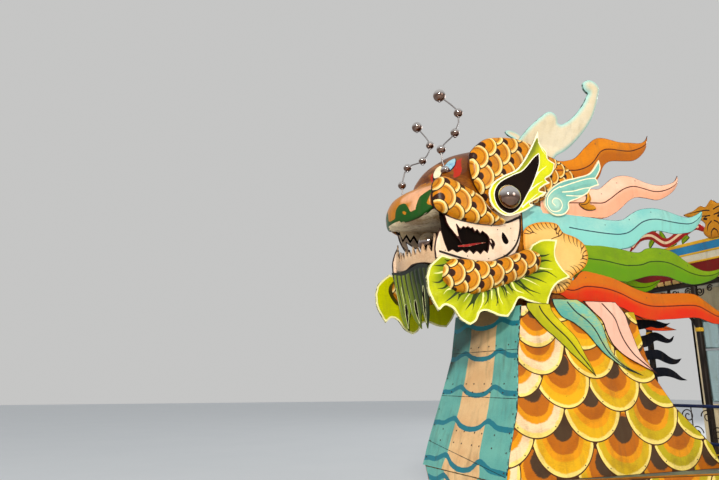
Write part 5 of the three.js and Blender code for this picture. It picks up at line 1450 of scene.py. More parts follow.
def hullSides():
    shell = Shell()
    xs = np.linspace(-6.1, 2.5, 160)
    _, footZ, _, topZ = hullAt(xs)
    wave = 0.36 + 0.07 * np.sin(xs * 2.6) + 0.02 * np.sin(xs * 7.1)
    size, rise = 0.155, 0.13
    scales = [(x + (row % 2) * rise + size, 0.52 - rise * row, size)
              for row in range(6) for x in np.arange(2.5, -6.4, -2 * rise)]
    cutPlate(shell, strip(xs, np.maximum(footZ + 0.02, -0.16), wave), onHull(0.008),
             scaled(scales, 0.007, spacing=0.03), 0.012, spacing=0.03)
    flames, lines = [], []
    for x in np.arange(-5.7, 2.2, 0.86):
        z = float(hullAt(x)[3])
        flames.append((bandOutline([(x + 0.40, z - 0.27, 0.02), (x + 0.26, z - 0.25, 0.085),
                                    (x + 0.08, z - 0.19, 0.075), (x - 0.10, z - 0.23, 0.06),
                                    (x - 0.30, z - 0.18, 0)], 0.03), 2))
        lines.append(evenStroke([(x + 0.34, z - 0.262), (x + 0.14, z - 0.21), (x - 0.06, z - 0.225)], 0.006))
    edgeLine = [np.column_stack((xs, wave + 0.022, np.full(len(xs), 0.011)))]
    cutPlate(shell, strip(xs, wave + 0.004, topZ - 0.095), onHull(0.010), lined(edgeLine, lines, raised(0.004)),
             0.012, (1, 1), flames, 0.036)
    # Scales go on over the bow, and below them is a cloud panel with curling lines.
    xs = np.linspace(2.5, 5.08, 70)
    rows = neckScaleRows[-2:] + [(0.36, ((5.05, 0.3), (4.35, 0.3), (3.65, 0.3), (2.95, 0.3)))]
    dress = scaled([(x, z + r, r) for r, row in rows for x, z in row], step=0.004, spacing=0.02, tint=neckTint)
    bow = strip(xs, np.maximum(hullAt(xs)[1] + 0.03, 0.56), np.full(len(xs), 0.885))
    cutPlate(shell, bow, onHull(0.010), dress, 0.014, (4, 4), spacing=0.024)
    curls, gold = [], []
    for x, z, r, turn in ((2.74, 0.36, 0.19, 1), (3.24, 0.28, 0.17, -1), (3.66, 0.32, 0.17, 1),
                          (4.06, 0.30, 0.15, -1), (4.42, 0.36, 0.13, 1), (4.72, 0.42, 0.10, -1),
                          (2.86, -0.02, 0.15, -1), (3.62, 0.0, 0.13, 1)):
        angle = np.linspace(0, turn * 9.5, 40)
        reach = r * (1 - np.arange(40) / 46)
        curls.append(stroke(np.column_stack((x + reach * np.cos(angle), z + reach * np.sin(angle))), 0.012,
                            0.006, 0.02))
        hook = [(x + r * 1.15, z - r * 0.3), (x + r * 1.5, z + r * 0.2), (x + r * 1.9, z + r * 0.1)]
        gold.append(stroke(hook, 0.010, 0.003))
    xs = np.linspace(2.5, 4.99, 66)
    mist = lambda p: np.clip(0.5 + 0.5 * np.sin(p[:, 0] * 5) * np.cos(p[:, 1] * 7), 0, 1)
    cutPlate(shell, strip(xs, hullAt(xs)[1] + 0.03, np.full(len(xs), 0.557)), onHull(0.010),
             lined(curls, gold, raised(0.004), mist), 0.014, (3, 3), spacing=0.024)
    fitPair("hull_side_art", shell, "hullScales waveRed flameCream cloud neckScales", [])
    # The chest's bands run on over the bow's top plate.
    shell = Shell()
    plate = straight([(-0.66, 0.89), (-0.56, 0.70), (0.56, 0.70), (0.66, 0.89)], 0.03)
    half = [(0.13, 0.76), (0.26, 0.84), (0.32, 0.84), (0.46, 0.79), (0.62, 0.80)]
    band = evenStroke(mirrored(half[::-1]) + [(0, 0.73)] + half, 0.024)
    panel = straight([(-0.30, 0.68), (0.30, 0.68), (0.29, 0.9), (-0.29, 0.9)], 0.03)
    cutPlate(shell, plate, onFront(5.108), lined([], [band]), 0.010, (0, 0), [(panel, 1)], 0.03)
    fit(shell.build("bow_plate", "chestTeal chestBeige"), [])


def strakes():
    shell = Shell()
    s = {"wide": 0.056, "tall": 0.074, "bolts": 0.29}
    turn = np.radians([100, 62, 30, 0, -30, -62, -100])
    rings = []
    for x in np.linspace(-6.2, 2.45, 120):
        half, z = hullAt(x)[2:]
        outer = np.column_stack((0.012 + s["wide"] * np.cos(turn), -0.016 + s["tall"] * np.sin(turn)))
        ring = [(-0.05, 0.058), *outer, (0.002, -0.088), (0.002, 0.001), (-0.05, 0.001)]
        rings.append(np.array([(x, half + y, z + h) for y, h in ring]))
    loft(shell, rings)
    for x in np.arange(-6.05, 2.4, s["bolts"]):
        half, z = hullAt(x)[2:]
        rod(shell, (x, half + 0.060, z - 0.016), (x, half + 0.0685, z - 0.016), (0.011, 0.007), 10, 1)
    fitPair("gunwale", shell, "strakePlain steel", ["strake"])


# Corrugated sheet across a span, seen from the side or, with `ahead`, from ahead.
def corrugated(shell, start, end, low, high, y, pitch=0.076, deep=0.010, ahead=False):
    xs = np.arange(start, end + 1e-6, pitch / 8)
    xs[-1] = end
    wave = y + deep * np.clip(1.6 * np.sin((xs - start) * fullTurn / pitch), -1, 1)
    both = strip(xs, wave, wave - 0.003)
    if ahead:
        both = both[:, ::-1]
    loft(shell, [np.column_stack((both, np.full(len(both), z))) for z in (low, high)])


cabin = {"rear": -4.4, "front": 0.2, "half": 1.24, "floor": 0.7003, "top": 3.0997, "sill": 1.45, "head": 2.68,
         "first": -4.2, "pitch": 0.86, "wide": 0.78}


def cabinSides():
    shell = Shell()
    floor, top, sill, head = (cabin[key] for key in ("floor", "top", "sill", "head"))
    inner, outer = cabin["half"] - 0.04, cabin["half"]
    x0, x1 = cabin["rear"] + 0.0403, cabin["front"] - 0.0403
    corrugated(shell, x0, x1, floor + 0.06, sill - 0.03, outer - 0.012)
    beam(shell, (x0, inner, floor + 0.05), (x1, inner + 0.008, sill - 0.02), 1, 0.002)
    beams(shell, (((x0, inner, floor), (x1, outer, floor + 0.08)),
                  ((x0, inner, sill - 0.07), (x1, outer + 0.012, sill)),
                  ((x0, inner, head), (x1, outer, head + 0.09)),
                  ((x0, inner + 0.004, head + 0.08), (x1, outer - 0.012, top)),
                  ((x0, inner, sill - 0.01), (cabin["first"], outer, head + 0.01))), 1)
    for i in range(5):
        a = cabin["first"] + i * cabin["pitch"]
        b = a + cabin["wide"]
        beam(shell, (b, inner, sill - 0.01), (min(b + 0.08, x1), outer, head + 0.01), 1)
        for (u0, v0), (u1, v1) in frameBars(a, sill, b, head, 0.035, 0.035) + [
                ((a + 0.37, sill), (a + 0.41, head)), ((a, 2.24), (b, 2.27))]:
            beam(shell, (u0, inner + 0.004, v0), (u1, outer - 0.006, v1), 2, 0.004)
        x, z = (a + b) / 2, 2.915
        curl = [(0.3, -0.03), (0.2, 0.06), (0.08, 0.02), (0.14, -0.04), (0.2, 0), (0.1, -0.07), (0, 0)]
        curls = [evenStroke([(x + way * dx, z + dz) for dx, dz in curl], 0.007) for way in (-1, 1)]
        cutPlate(shell, rectangle(a + 0.02, 2.80, b - 0.02, 3.03), onSide(outer - 0.010),
                 lined(curls, relief=raised(0.004, 0.01)), 0.006, (3, 3), spacing=0.03)
    fitPair("cabin_side", shell, "corrugated cream aluminium cloud", ["cabin_wall"])


def cabinEnds():
    half, floor, top, sill, head = (cabin[key] for key in ("half", "floor", "top", "sill", "head"))
    for name, out, door, spans, lights in (
            ("front", 1, (-0.55, 0.55), [(-1.24, -0.55), (0.55, 1.24)], [(-1.13, -0.68), (0.68, 1.13)]),
            ("rear", -1, (-0.95, -0.30), [(-1.24, -0.95), (-0.30, 1.24)], [(0.10, 1.0)])):
        shell = Shell()
        x = cabin[name]
        back = x - out * 0.04

        def wall(spans, look=1, inset=0.0, relief=0.0, bevel=0.006):
            for (y0, z0), (y1, z1) in spans:
                beam(shell, (back + out * inset, y0, z0), (x - out * relief, y1, z1), look, bevel)
        for low, high in spans:
            corrugated(shell, low + 0.02, high - 0.02, floor + 0.06, sill - 0.03, x - out * 0.014, ahead=True)
            beam(shell, (back, low, floor + 0.05), (back + out * 0.008, high, sill - 0.02), 1, 0.002)
            hole = [light for light in lights if low < light[0] < high]
            edges = [low] + [q for light in hole for q in light] + [high]
            wall([((low, floor), (high, floor + 0.08)), ((low, sill - 0.07), (high, sill)),
                  ((low, floor), (low + 0.045, top)), ((high - 0.045, floor), (high, top))]
                 + [((c, sill - 0.01), (d, head + 0.02)) for c, d in zip(edges[::2], edges[1::2])])
            for c, d in hole:
                wall(frameBars(c, sill, d, head, 0.03, 0.03) + [((c, 2.20), (d, 2.23))], 2, 0.004, 0.006, 0.004)
        wall([((-half, head), (half, head + 0.09))])
        wall([((-half, head + 0.08), (half, top))], 1, 0.004, 0.010)
        wall([((door[0], 2.66), (door[1], 2.70)), ((door[0], floor), (door[1], 0.74))], 2)
        fit(shell.build(f"cabin_{name}_wall", "corrugated cream aluminium"), [f"cabin_{name}"])


def doorPiece(name, node, body, x, outward, low, high, hinge):
    shell = Shell()
    thick, z0, z1, knuckle = 0.035, 0.746, 2.654, 0.0083
    middle = x + thick / 2
    for (y0, v0), (y1, v1) in frameBars(low, z0, high, z1, 0.07, 0.1) + [
            ((low, z0 + 0.55), (high, z0 + 0.62)), ((low, z0 + 1.25), (high, z0 + 1.28))]:
        beam(shell, (x, y0, v0), (x + thick, y1, v1), 0, 0.005)
    corrugated(shell, low + 0.06, high - 0.06, z0 + 0.09, z0 + 0.56, middle, 0.05, 0.006, True)
    beam(shell, (middle - 0.003, low + 0.06, z0 + 0.6), (middle + 0.003, high - 0.06, z1 - 0.06), 1, 0.001)
    face = x + thick if outward > 0 else x
    pin = face + outward * (0.002 + knuckle)
    inward = hinge - 0.03 if hinge > 0 and outward > 0 else hinge + 0.03
    for z in (z0 + 0.15, (z0 + z1) / 2, z1 - 0.15):
        rod(shell, (pin, hinge, z - 0.045), (pin, hinge, z + 0.045), 0.008)
        beam(shell, (pin, hinge, z - 0.04), (middle, inward, z + 0.04), 0, 0.002)
    grip = low + 0.035 if abs(hinge - high) < 0.1 else high - 0.035
    stand = face + outward * 0.012
    bar = curve([(face, grip, 1.62), (stand, grip, 1.625), (stand, grip, 1.78), (face, grip, 1.785)], 0.01)
    tube(shell, bar, 0.007, 10, 2)
    fit(shell.build(name, "aluminium glass steel"), [node], body)


def benches():
    back, seat = 1.17, 1.125
    for label, sign in side.items():
        shell = Shell()
        slats = [((-4.1, y, seat), (-1.0, y + 0.072, 1.15)) for y in back - 0.42 + 0.084 * np.arange(5)]
        rows = 1.18 + 0.075 * np.arange(3)
        slats += [((-4.1, back - 0.028, z), (-1.0, back - 0.008, z + 0.06)) for z in rows]
        legs = []
        for x in (-4.04, -2.55, -1.11):
            legs += [((x, y, deckZ), (x + 0.05, y + 0.03, seat)) for y in (back - 0.40, back - 0.045)]
            legs += [((x, back - 0.42, 1.09), (x + 0.05, back, seat)),
                     ((x, back - 0.008, 1.1), (x + 0.05, back, 1.40))]
        for rows, look in ((slats, 0), (legs, 1)):
            beams(shell, np.array(rows) * (1, sign, 1), look, 0.005)
        fit(shell.build(f"slatted_bench_{label}", "slat iron"), [f"bench_{label}"])


def helm():
    shell = Shell()
    beams(shell, (((-0.24, 0.75, deckZ), (0.04, 1.11, 1.53)), ((-0.25, 0.74, 1.56), (-0.06, 1.12, 1.81))), 0,
          0.012)
    beams(shell, (((-0.26, 0.73, 1.53), (0.06, 1.13, 1.56)), ((-0.26, 0.73, 1.81), (-0.06, 1.13, 1.84))), 1,
          0.010)
    beams(shell, [((-0.249, y, 0.80), (-0.243, y + 0.13, 1.45)) for y in (0.79, 0.94)], 1, 0.002)
    for y in (0.80, 0.965, 1.07):
        rod(shell, (-0.252, y, 1.75), (-0.259, y, 1.75), 0.034, 24, 2)
        rod(shell, (-0.2575, y, 1.75), (-0.2598, y, 1.75), (0.028, 0.027), 24, 3)
    tube(shell, [(-0.20, 1.09, 1.83), (-0.20, 1.09, 1.90), (-0.20, 1.09, 1.92)], (0.008, 0.007, 0.016), 12, 2)
    fit(shell.build("helm_stand", "wood slat steel ceiling"), ["helm_console"])
    shell = Shell()
    s = {"centre": (-0.33, 0.93, 1.68), "radius": 0.2, "rim": 0.013, "round": 48, "section": 12}
    centre, count, around = np.array(s["centre"]), s["section"], s["round"]
    section = circle(count)
    reach = s["radius"] + s["rim"] * np.cos(section)
    rings = [centre + np.column_stack((s["rim"] * np.sin(section), reach * math.cos(a), reach * math.sin(a)))
             for a in circle(around)]
    shell.add(np.concatenate(rings), [
        [p * count + i, q * count + i, q * count + (i + 1) % count, p * count + (i + 1) % count]
        for p in range(around) for q in [(p + 1) % around] for i in range(count)])
    at = np.array([0.03, 0.06, 0.10, 0.14, 0.188])
    for turn in circle(6) + math.pi / 6:
        tube(shell, centre + at[:, None] * (0, math.cos(turn), math.sin(turn)),
             (0.008, 0.010, 0.007, 0.010, 0.008))
    tube(shell, [centre + (x, 0, 0) for x in (-0.025, -0.02, 0.02, 0.025)], (0.03, 0.038, 0.038, 0.03), 24, 1)
    rod(shell, centre + (0.02, 0, 0), centre + (0.0697, 0, 0), 0.016, 16, 1)
    fit(shell.build("wheel_spoked", "wood bronze"), ["helm_wheel"], "wheel")


def roofPiece():
    s = {"rear": -4.8997, "front": 1.0697, "half": 1.4797, "eave": 3.43, "ridge": 3.86, "hip": 1.3,
         "inset": 1.28, "pitch": 0.148, "roll": 0.036, "boards": 24}
    shell = Shell()
    rear, front, half = s["rear"], s["front"], s["half"]
    ridgeRear, ridgeFront = rear + s["hip"], front - s["hip"]

    def height(x, y):
        run = min((x - rear) / s["hip"], (front - x) / s["hip"], (half - abs(y)) / s["inset"])
        return s["eave"] + (s["ridge"] - s["eave"]) * np.clip(run, 0, 1)

    # Rounded tile rolls that run down each slope.
    def roll(start, end, reach):
        line = np.linspace(start, end, max(3, int(reach * 14)))
        tube(shell, [(x, y, float(height(x, y)) - 0.002) for x, y in line], s["roll"], 8)
    for sign in (1, -1):
        for x in np.arange(rear + 0.10, front - 0.06, s["pitch"]):
            reach = min(1.0, (x - rear) / s["hip"], (front - x) / s["hip"])
            roll((x, sign * half), (x, sign * max(half - reach * s["inset"], 0.2)), reach)
        for y in np.arange(0.07, half - 0.05, s["pitch"]):
            reach = min(1.0, (half - y) / s["inset"])
            for end, ridge in ((front, ridgeFront), (rear, ridgeRear)):
                roll((end, sign * y), (end + (ridge - end) * reach, sign * y), reach)
    rings = [[(rear + inset, -y, z), (front - inset, -y, z), (front - inset, y, z), (rear + inset, y, z)]
             for inset, y,
             z in ((0, half, 3.12), (0, half, s["eave"]), (s["hip"], half - s["inset"], s["ridge"]))]
    loft(shell, [np.array(ring) for ring in rings])
    for sign in (1, -1):
        rod(shell, (ridgeRear, sign * 0.19, 3.868), (ridgeFront, sign * 0.19, 3.868), 0.03, 10, 1)
        for x, out in ((ridgeFront, front), (ridgeRear, rear)):
            tube(shell,
                 [(x, sign * 0.2, 3.868), (out + (x - out) * 0.5, sign * 0.83, 3.655),
                  (out, sign * 1.45, 3.445)], 0.042, 10, 1)
    rod(shell, (ridgeRear, 0, 3.872), (ridgeFront, 0, 3.872), 0.045, 12, 1)
    board = 2 * half / s["boards"]
    beams(shell, [((rear, y + 0.003, 3.10), (front, y + board - 0.003, 3.116))
                  for y in -half + board * np.arange(s["boards"])], 2, 0.004)
    fit(shell.build("tiled_roof", "tileTeal boardYellow ceiling"), ["roof"])


def fasciaPiece():
    s = {"rear": -4.93, "front": 1.1, "half": 1.51, "dentil": 0.125}
    shell = Shell()
    boards = [(3.10, 3.32, 0.003, 0, 0, 1), (3.31, 3.335, 0.012, 1, 0, 1), (3.33, 3.43, 0.004, 2, 0, 1),
              (3.425, 3.45, 0.012, 1, 0, 1), (3.445, 3.56, 0.006, 3, 0, 1), (3.555, 3.58, 0.012, 1, 0, 1)]
    corners = np.array([(s["front"], -s["half"]), (s["front"], s["half"]), (s["rear"], s["half"]),
                        (s["rear"], -s["half"])])
    for a, b in zip(corners, np.roll(corners, -1, axis=0)):
        way = unit(b - a)
        out = np.array((way[1], -way[0]))
        count = round(float(np.linalg.norm(b - a)) / s["dentil"])
        dentils = [(3.073, 3.13, 0.010, 4, (k + 0.12) / count, (k + 0.88) / count) for k in range(count)]
        for low, high, lift, look, start, end in boards + dentils:
            beam(shell, (*(a + (b - a) * start - out * 0.03), low),
                 (*(a + (b - a) * end + out * (lift - 0.012)), high), look, 0.004)
    fit(shell.build("fascia_boards", "boardRed boardYellow boardGrey boardBlue dentil"), ["fascia"])


# Carved crest: a gold mask between two wavy red bodies with green fins.
def crestPiece():
    shell = Shell()

    def form(edge, look, out=0.0, ink=(), crown=0.012):
        cutPlate(shell, edge, onFront(1.088 + out), lined(ink, relief=padded(crown, 0.04)), 0.014, (look, look),
                 spacing=0.018)
    form(rectangle(-1.46, 3.566, 1.46, 3.60, 0.05), 0)
    half = [(0, 3.57), (0.10, 3.59), (0.17, 3.68), (0.13, 3.78), (0.19, 3.86), (0.30, 3.91), (0.43, 3.99),
            (0.28, 4.01), (0.17, 4.05), (0.09, 4.02), (0, 4.09)]
    veins, eyes = [], []
    for sign in (1, -1):
        veins += [stroke([(sign * y, z) for y, z in line], 0.009, 0.003) for line in (
            ((0.03, 3.95), (0.12, 3.97), (0.36, 3.985)), ((0.03, 3.88), (0.10, 3.89), (0.24, 3.92)),
            ((0.02, 3.80), (0.07, 3.76), (0.10, 3.68)), ((0.0, 3.70), (0.04, 3.66), (0.05, 3.60)))]
        eyes.append(evenStroke([(sign * 0.085, 3.845), (sign * 0.115, 3.855)], 0.016))
    form(curve(half + mirrored(half[-2:0:-1]), 0.015, True), 1, 0.012, veins + eyes, 0.022)
    body = [(1.44, 3.66, 0), (1.34, 3.74, 0.06), (1.20, 3.84, 0.10), (0.99, 3.83, 0.13), (0.76, 3.67, 0.13),
            (0.50, 3.75, 0.13), (0.30, 3.80, 0.10), (0.16, 3.72, 0.06)]
    for sign in (1, -1):
        rows = [(sign * y, z, w) for y, z, w in body]
        line = curve([row[:2] for row in rows], 0.03)[4:-3]
        form(bandOutline(rows, 0.03), 2, 0.004, [evenStroke(line, 0.018, 0.03)])
        for y, z, dy, dz in ((1.34, 3.76, 0.06, 0.16), (1.16, 3.88, 0.03, 0.15), (0.97, 3.88, -0.05, 0.15),
                             (0.80, 3.72, 0.05, 0.17), (0.58, 3.74, 0.07, 0.17), (0.42, 3.80, 0.05, 0.13),
                             (0.98, 3.78, 0.08, -0.14), (0.62, 3.66, 0.13, -0.06), (0.42, 3.70, 0.10, -0.10)):
            fin = [(sign * y, z, 0.08), (sign * (y + dy * 0.7), z + dz * 0.5, 0.07),
                   (sign * (y + dy), z + dz, 0)]
            form(bandOutline(fin, 0.02), 3, -0.002, [stroke(fin, 0.004, 0.001)])
    fit(shell.build("roof_crest", "boardYellow gold crestRed green"), ["fascia"])


def spiral(shell, place, centre, radius, turns, start, look, wire=0.009):
    angle = np.linspace(0, turns * fullTurn, int(abs(turns) * 18))
    r = radius * np.linspace(1, 0.22, len(angle))
    tube(shell, place(centre[0] + r * np.cos(angle + start), centre[1] + r * np.sin(angle + start)), wire, 6,
         look)


def portalPiece():
    shell = Shell()
    middle = 1.02
    across = lambda a, b: np.column_stack((np.full(len(a), middle), a, b))

    def post(y, low, high, wide, look, bevel):
        beam(shell, (middle - wide, y - wide, low), (middle + wide, y + wide, high), look, bevel)
    for y in (-1.29, -0.48, 0.48, 1.29):
        post(y, deckZ, 3.02, 0.035, 0, 0.012)
        post(y, deckZ, 0.84, 0.04, 0, 0.01)
        post(y, 2.40, 2.46, 0.04, 1, 0.01)
        post(y, 0.84, 0.86, 0.04, 1, 0.008)
    beam(shell, (0.98, -1.33, 3.01), (1.06, 1.33, 3.0997), 0, 0.012)
    for sign in (1, -1):
        line = curve([(sign * 0.50, 2.45), (sign * 0.60, 2.62), (sign * 0.80, 2.78), (sign * 0.88, 2.90),
                      (sign * 0.88, 3.03)], 0.03)
        tube(shell, across(*line.T), 0.022, 10)
        for y, z, r, turn in ((0.66, 2.86, 0.075, 1.7), (0.58, 2.95, 0.05, -1.5), (0.78, 2.95, 0.055, 1.6),
                              (1.12, 2.92, 0.075, -1.7), (1.0, 2.96, 0.05, 1.5), (0.40, 2.93, 0.06, 1.6),
                              (0.25, 2.955, 0.045, -1.5)):
            spiral(shell, across, (sign * y, z), r, turn * sign, 0.5, 0)
    fit(shell.build("portal_frame", "iron boardYellow"), ["portal"])


def railing(name, node, stations, top, bars, paintName, curls):
    inset = 0.11
    shell = Shell()
    port = [(x, float(hullAt(x)[2]) - inset) for x in stations]
    spots = np.array(port + [(x, -y) for x, y in port[::-1]])
    for x, y in spots:
        z = float(hullAt(x)[3])
        tube(shell, [(x, y, z), (x, y, z + 0.012), (x, y, z + 0.03)], (0.045, 0.04, 0.024), 14)
        rod(shell, (x, y, z), (x, y, top), 0.021, 14)
        ball(shell, (x, y, top + 0.02), 0.034, 1, 20, 12)
    for a, b in zip(spots[:-1], spots[1:]):
        for z in bars:
            rod(shell, (*a, z), (*b, z), 0.0175)
        length, way = float(np.linalg.norm(b - a)), unit(b - a)
        place = lambda u, v: np.column_stack((a[0] + way[0] * u, a[1] + way[1] * u, v))
        count = max(1, round(length / 0.24)) if curls else 0
        for u in (np.arange(count) + 0.5) * length / max(count, 1):
            for sign in (1, -1):
                spiral(shell, place, (u + sign * 0.045, 1.30 + sign * 0.085), 0.075, 1.4 * sign,
                       math.pi / 2 * (1 - sign), 2, 0.006)
            tube(shell, place(np.array((u, u)), np.array((1.11, 1.49))), 0.006, 6, 2)
    fit(shell.build(name, f"{paintName} steel iron"), [node])


def engineGear():
    shell = Shell()
    x0, x1, half, wall, foot, rim = -6.02, -5.26, 0.36, 0.025, 0.7603, 1.2
    beams(shell, (((x0, -half, foot), (x0 + wall, half, rim)), ((x1 - wall, -half, foot), (x1, half, rim)),
                  ((x0 + wall, -half, foot), (x1 - wall, wall - half, rim)),
                  ((x0 + wall, half - wall, foot), (x1 - wall, half, rim)),
                  ((x0 + wall, wall - half, foot), (x1 - wall, half - wall, 0.785))))
    for x, inX in ((x0, 1), (x1, -1)):
        for inY in (1, -1):
            beam(shell, (x - (0.006 if inX > 0 else 0), -inY * half - (0.006 if inY > 0 else 0), 0.78),
                 (x + inX * 0.03, inY * (0.03 - half), 1.198), 1, 0.004)
    beams(shell, [((x0 + 0.16, sign * half, z), (x1 - 0.16, sign * (half + 0.008), z + 0.025))
                  for z in 0.86 + 0.045 * np.arange(6) for sign in (1, -1)], 1, 0.004)
    fit(shell.build("engine_case", "boxTeal aluminium"), ["engine_box"])
    shell = Shell()
    beam(shell, (x0 - 0.02, -half - 0.02, 1.2003), (x1 + 0.02, half + 0.02, 1.222))
    beams(shell,
          [((x0 + 0.05, y, 1.218), (x1 - 0.05, y + 0.04, 1.226)) for y in 0.06 - half + 0.145 * np.arange(5)],
          0, 0.004)
    tube(shell, curve([(x0, -0.07, 1.2185), (x0, -0.05, 1.2255), (x0, 0.05, 1.2255), (x0, 0.07, 1.2185)], 0.01),
         0.005, 8, 1)
    fit(shell.build("engine_hatch", "boxTeal steel"), ["engine_lid"], "box_lid")
    shell = Shell()
    beam(shell, (x0 + 0.1, -0.14, 0.7853), (x1 - 0.1, 0.14, 0.97), 0, 0.02)
    beam(shell, (x0 + 0.13, -0.10, 0.96), (x1 - 0.13, 0.10, 1.06), 0, 0.015)
    for x in x0 + 0.20 + 0.115 * np.arange(4):
        tube(shell, [(x, 0, 1.05), (x, 0, 1.09), (x, 0, 1.108)], (0.036, 0.036, 0.02), 16, 1)
        tube(shell, curve([(x, 0.10, 1.02), (x, 0.16, 1.0), (x, 0.18, 0.95)], 0.02), 0.022, 12, 1)
        beam(shell, (x - 0.03, -0.21, 0.80), (x + 0.03, -0.14, 0.93), 0, 0.01)
    rod(shell, (x0 + 0.12, 0.18, 0.95), (x1 - 0.12, 0.18, 0.95), 0.026, 14, 1)
    rod(shell, (x1 - 0.10, 0, 0.90), (x1 - 0.092, 0, 0.90), 0.12, 28, 1)
    fit(shell.build("engine_block", "engine steel"), ["engine"])


tailRows = [(-5.95, 0.76, 0.42), (-6.35, 1.06, 0.44), (-6.70, 1.50, 0.36), (-6.76, 2.00, 0.28),
            (-6.56, 2.45, 0.20), (-6.52, 2.80, 0.13), (-6.65, 3.00, 0.06)]


def tailPiece():
    shell = Shell()
    edge = bandOutline(tailRows, 0.03)
    edge = edge[(edge[:, 0] < -6.2015) | (edge[:, 1] > 1.65)]
    line = curve([r[:2] for r in tailRows], 0.02)
    gaps = runLengths(line)

    # Place, way and width of the tail at a distance from its root.
    def tailAt(at, reach):
        i = min(int(np.searchsorted(gaps, at)), len(line) - 1)
        way = unit(line[min(i + reach, len(line) - 1)] - line[max(i - reach, 0)])
        width = float(np.interp(at / gaps[-1], np.linspace(0, 1, len(tailRows)), [r[2] for r in tailRows]))
        return np.array([np.interp(at, gaps, line[:, k]) for k in range(2)]), way, width
    scales, pitch = [], 0.115
    for at in np.arange(gaps[-1], 0, -pitch):
        spot, way, width = tailAt(at, 2)
        cross = np.array((-way[1], way[0]))
        for k in ((-1, 0, 1) if int(round(at / pitch)) % 2 else (-0.5, 0.5)):
            scales.append((*(spot + cross * k * width * 0.42), 0.055 + width * 0.17))
    dress, backDress = (scaled(scales, 0.010, padded(0.045, 0.12), spacing=0.018) for _ in range(2))
    cutPlate(shell, edge, onSide(0.02), dress, 0.04, spacing=0.018, backDress=backDress)

    def fin(rows, look, ink=()):
        rise = raised(0.008, 0.03)
        cutPlate(shell, bandOutline(rows), onSide(0.007), lined(ink, relief=rise), 0.014, (look, look),
                 spacing=0.016, backDress=lined(relief=rise))
    for look, rows in enumerate(([(-6.56, 2.96, 0.12), (-6.70, 3.15, 0.11), (-6.64, 3.40, 0.08),
                                  (-6.76, 3.62, 0)],
                                 [(-6.60, 2.90, 0.12), (-6.86, 3.05, 0.11), (-6.98, 3.28, 0.08),
                                  (-7.18, 3.38, 0)],
                                 [(-6.56, 2.96, 0.12), (-6.48, 3.16, 0.10), (-6.30, 3.30, 0.07),
                                  (-6.26, 3.48, 0)]), 1):
        middle = curve(rows)[:-3, :2]
        fin(rows, look, [np.column_stack((middle, np.full(len(middle), 0.004)))])
    for at, look in ((0.25, 1), (0.38, 2), (0.51, 3), (0.64, 1), (0.77, 2)):
        spot, way, width = tailAt(at * gaps[-1], 3)
        out = np.array((-way[1], way[0])) * (1 if way[1] > 0 else -1)
        root = spot + out * width * 0.40
        fin([(*root, 0.14), (*(root + out * 0.09 + way * 0.07), 0.09), (*(root + out * 0.13 + way * 0.20), 0)],
            look)
    fit(shell.build("scaled_tail", "headScales red green orange"), ["tail"])


def propeller():
    s = {"hub": (-5.0, 0, -0.2), "blades": 3, "root": 0.03, "tip": 0.18}
    shell = Shell()
    hub = np.array(s["hub"])
    tube(shell, [hub + (x, 0, 0) for x in (-0.05, -0.04, 0.03, 0.045)], (0.012, 0.030, 0.038, 0.034), 24)
    rod(shell, hub, hub + (0.2197, 0, 0), 0.024, 20)
    turn = circle(16)
    for spin in circle(s["blades"]):
        rings = []
        for r in np.linspace(s["root"], s["tip"], 12):
            chord = 0.16 * math.sin(math.pi * min(1, 0.25 + r / 0.24)) ** 0.7 + 0.004
            pitch = math.atan(0.10 / r)
            u, v = 0.5 * chord * np.cos(turn), 0.005 * (1.2 - r / 0.2) * np.sin(turn)
            along, over = u * math.sin(pitch) + v * math.cos(pitch), u * math.cos(pitch) - v * math.sin(pitch)
            angle = over / r + spin
            rings.append(hub + np.column_stack((along * 0.55, r * np.cos(angle), r * np.sin(angle))))
        loft(shell, rings)
    fit(shell.build("screw_blades", "bronze"), ["propeller"], "screw")


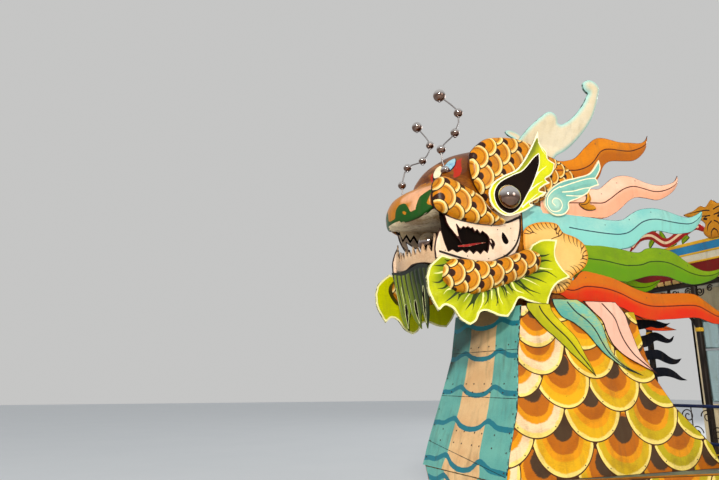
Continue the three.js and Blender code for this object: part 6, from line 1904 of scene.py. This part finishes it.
def rudder():
    shell = Shell()
    turn = circle(20)
    rings = []
    for z, front, rear in ((-0.425, -5.312, -5.785), (-0.40, -5.305, -5.792), (-0.2, -5.298, -5.775),
                           (0.01, -5.292, -5.752), (0.035, -5.32, -5.72)):
        middle, half = (front + rear) / 2, (front - rear) / 2
        thick = 0.016 * np.sin(turn) * (1 + 0.35 * np.cos(turn))
        rings.append(np.column_stack((middle + half * np.cos(turn), thick, np.full(len(turn), z))))
    loft(shell, rings)
    rod(shell, (-5.42, 0, -0.3), (-5.42, 0, 0.0597), 0.03, 16, 1)
    beams(shell, [((-5.60, -0.022, z), (-5.40, 0.022, z + 0.03)) for z in (-0.25, -0.08)], 0, 0.005)
    fit(shell.build("rudder_blade", "hull bronze"), ["rudder"], "steering")


hullSides()
strakes()
cabinSides()
cabinEnds()
doorPiece("door_leaf_port", "front_door_port", "port_door", 0.163, 1, 0.005, 0.544, 0.549)
doorPiece("door_leaf_starboard", "front_door_starboard", "starboard_door", 0.163, 1, -0.544, -0.005, -0.549)
doorPiece("door_leaf_rear", "rear_door", "aft_door", -4.398, -1, -0.944, -0.306, -0.949)
benches()
helm()
print("cabin made")
roofPiece()
fasciaPiece()
crestPiece()
portalPiece()
railing("fore_railing", "fore_rail", (1.105, 1.50, 1.95, 2.38), 1.50, (0.96, 1.11, 1.49), "railBlue",
        True)
railing("stern_railing", "stern_rail", (-4.6, -5.35, -6.1), 1.56, (1.24, 1.55), "steel", False)
print("roof and rails made")
engineGear()
tailPiece()
propeller()
rudder()
for node, paintName in {"hull": "hull", "neck": "core", "glass_port": "glass", "glass_starboard": "glass",
                        "glass_front": "glass", "glass_rear": "glass"}.items():
    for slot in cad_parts[node].material_slots:
        slot.material = paints[paintName]
print("boat made")


def studioFloor():
    reach = 60
    mesh = bpy.data.meshes.new("studioFloor")
    corners = [(-reach, -reach, 0), (reach, -reach, 0), (reach, reach, 0), (-reach, reach, 0)]
    mesh.from_pydata(corners, [], [(0, 1, 2, 3)])
    shader = startMaterial("floor")
    tone = useGroup("brushStrokes", Scale=0.6, Contrast=0.3)["Tone"]
    put(shader["Base Color"], mixed(tone, "DADFE4", "D2D8DE"))
    shader["Roughness"].default_value = 0.7
    mesh.materials.append(paints["floor"])
    made = bpy.data.objects.new("studioFloor", mesh)
    bpy.context.collection.objects.link(made)


studioFloor()
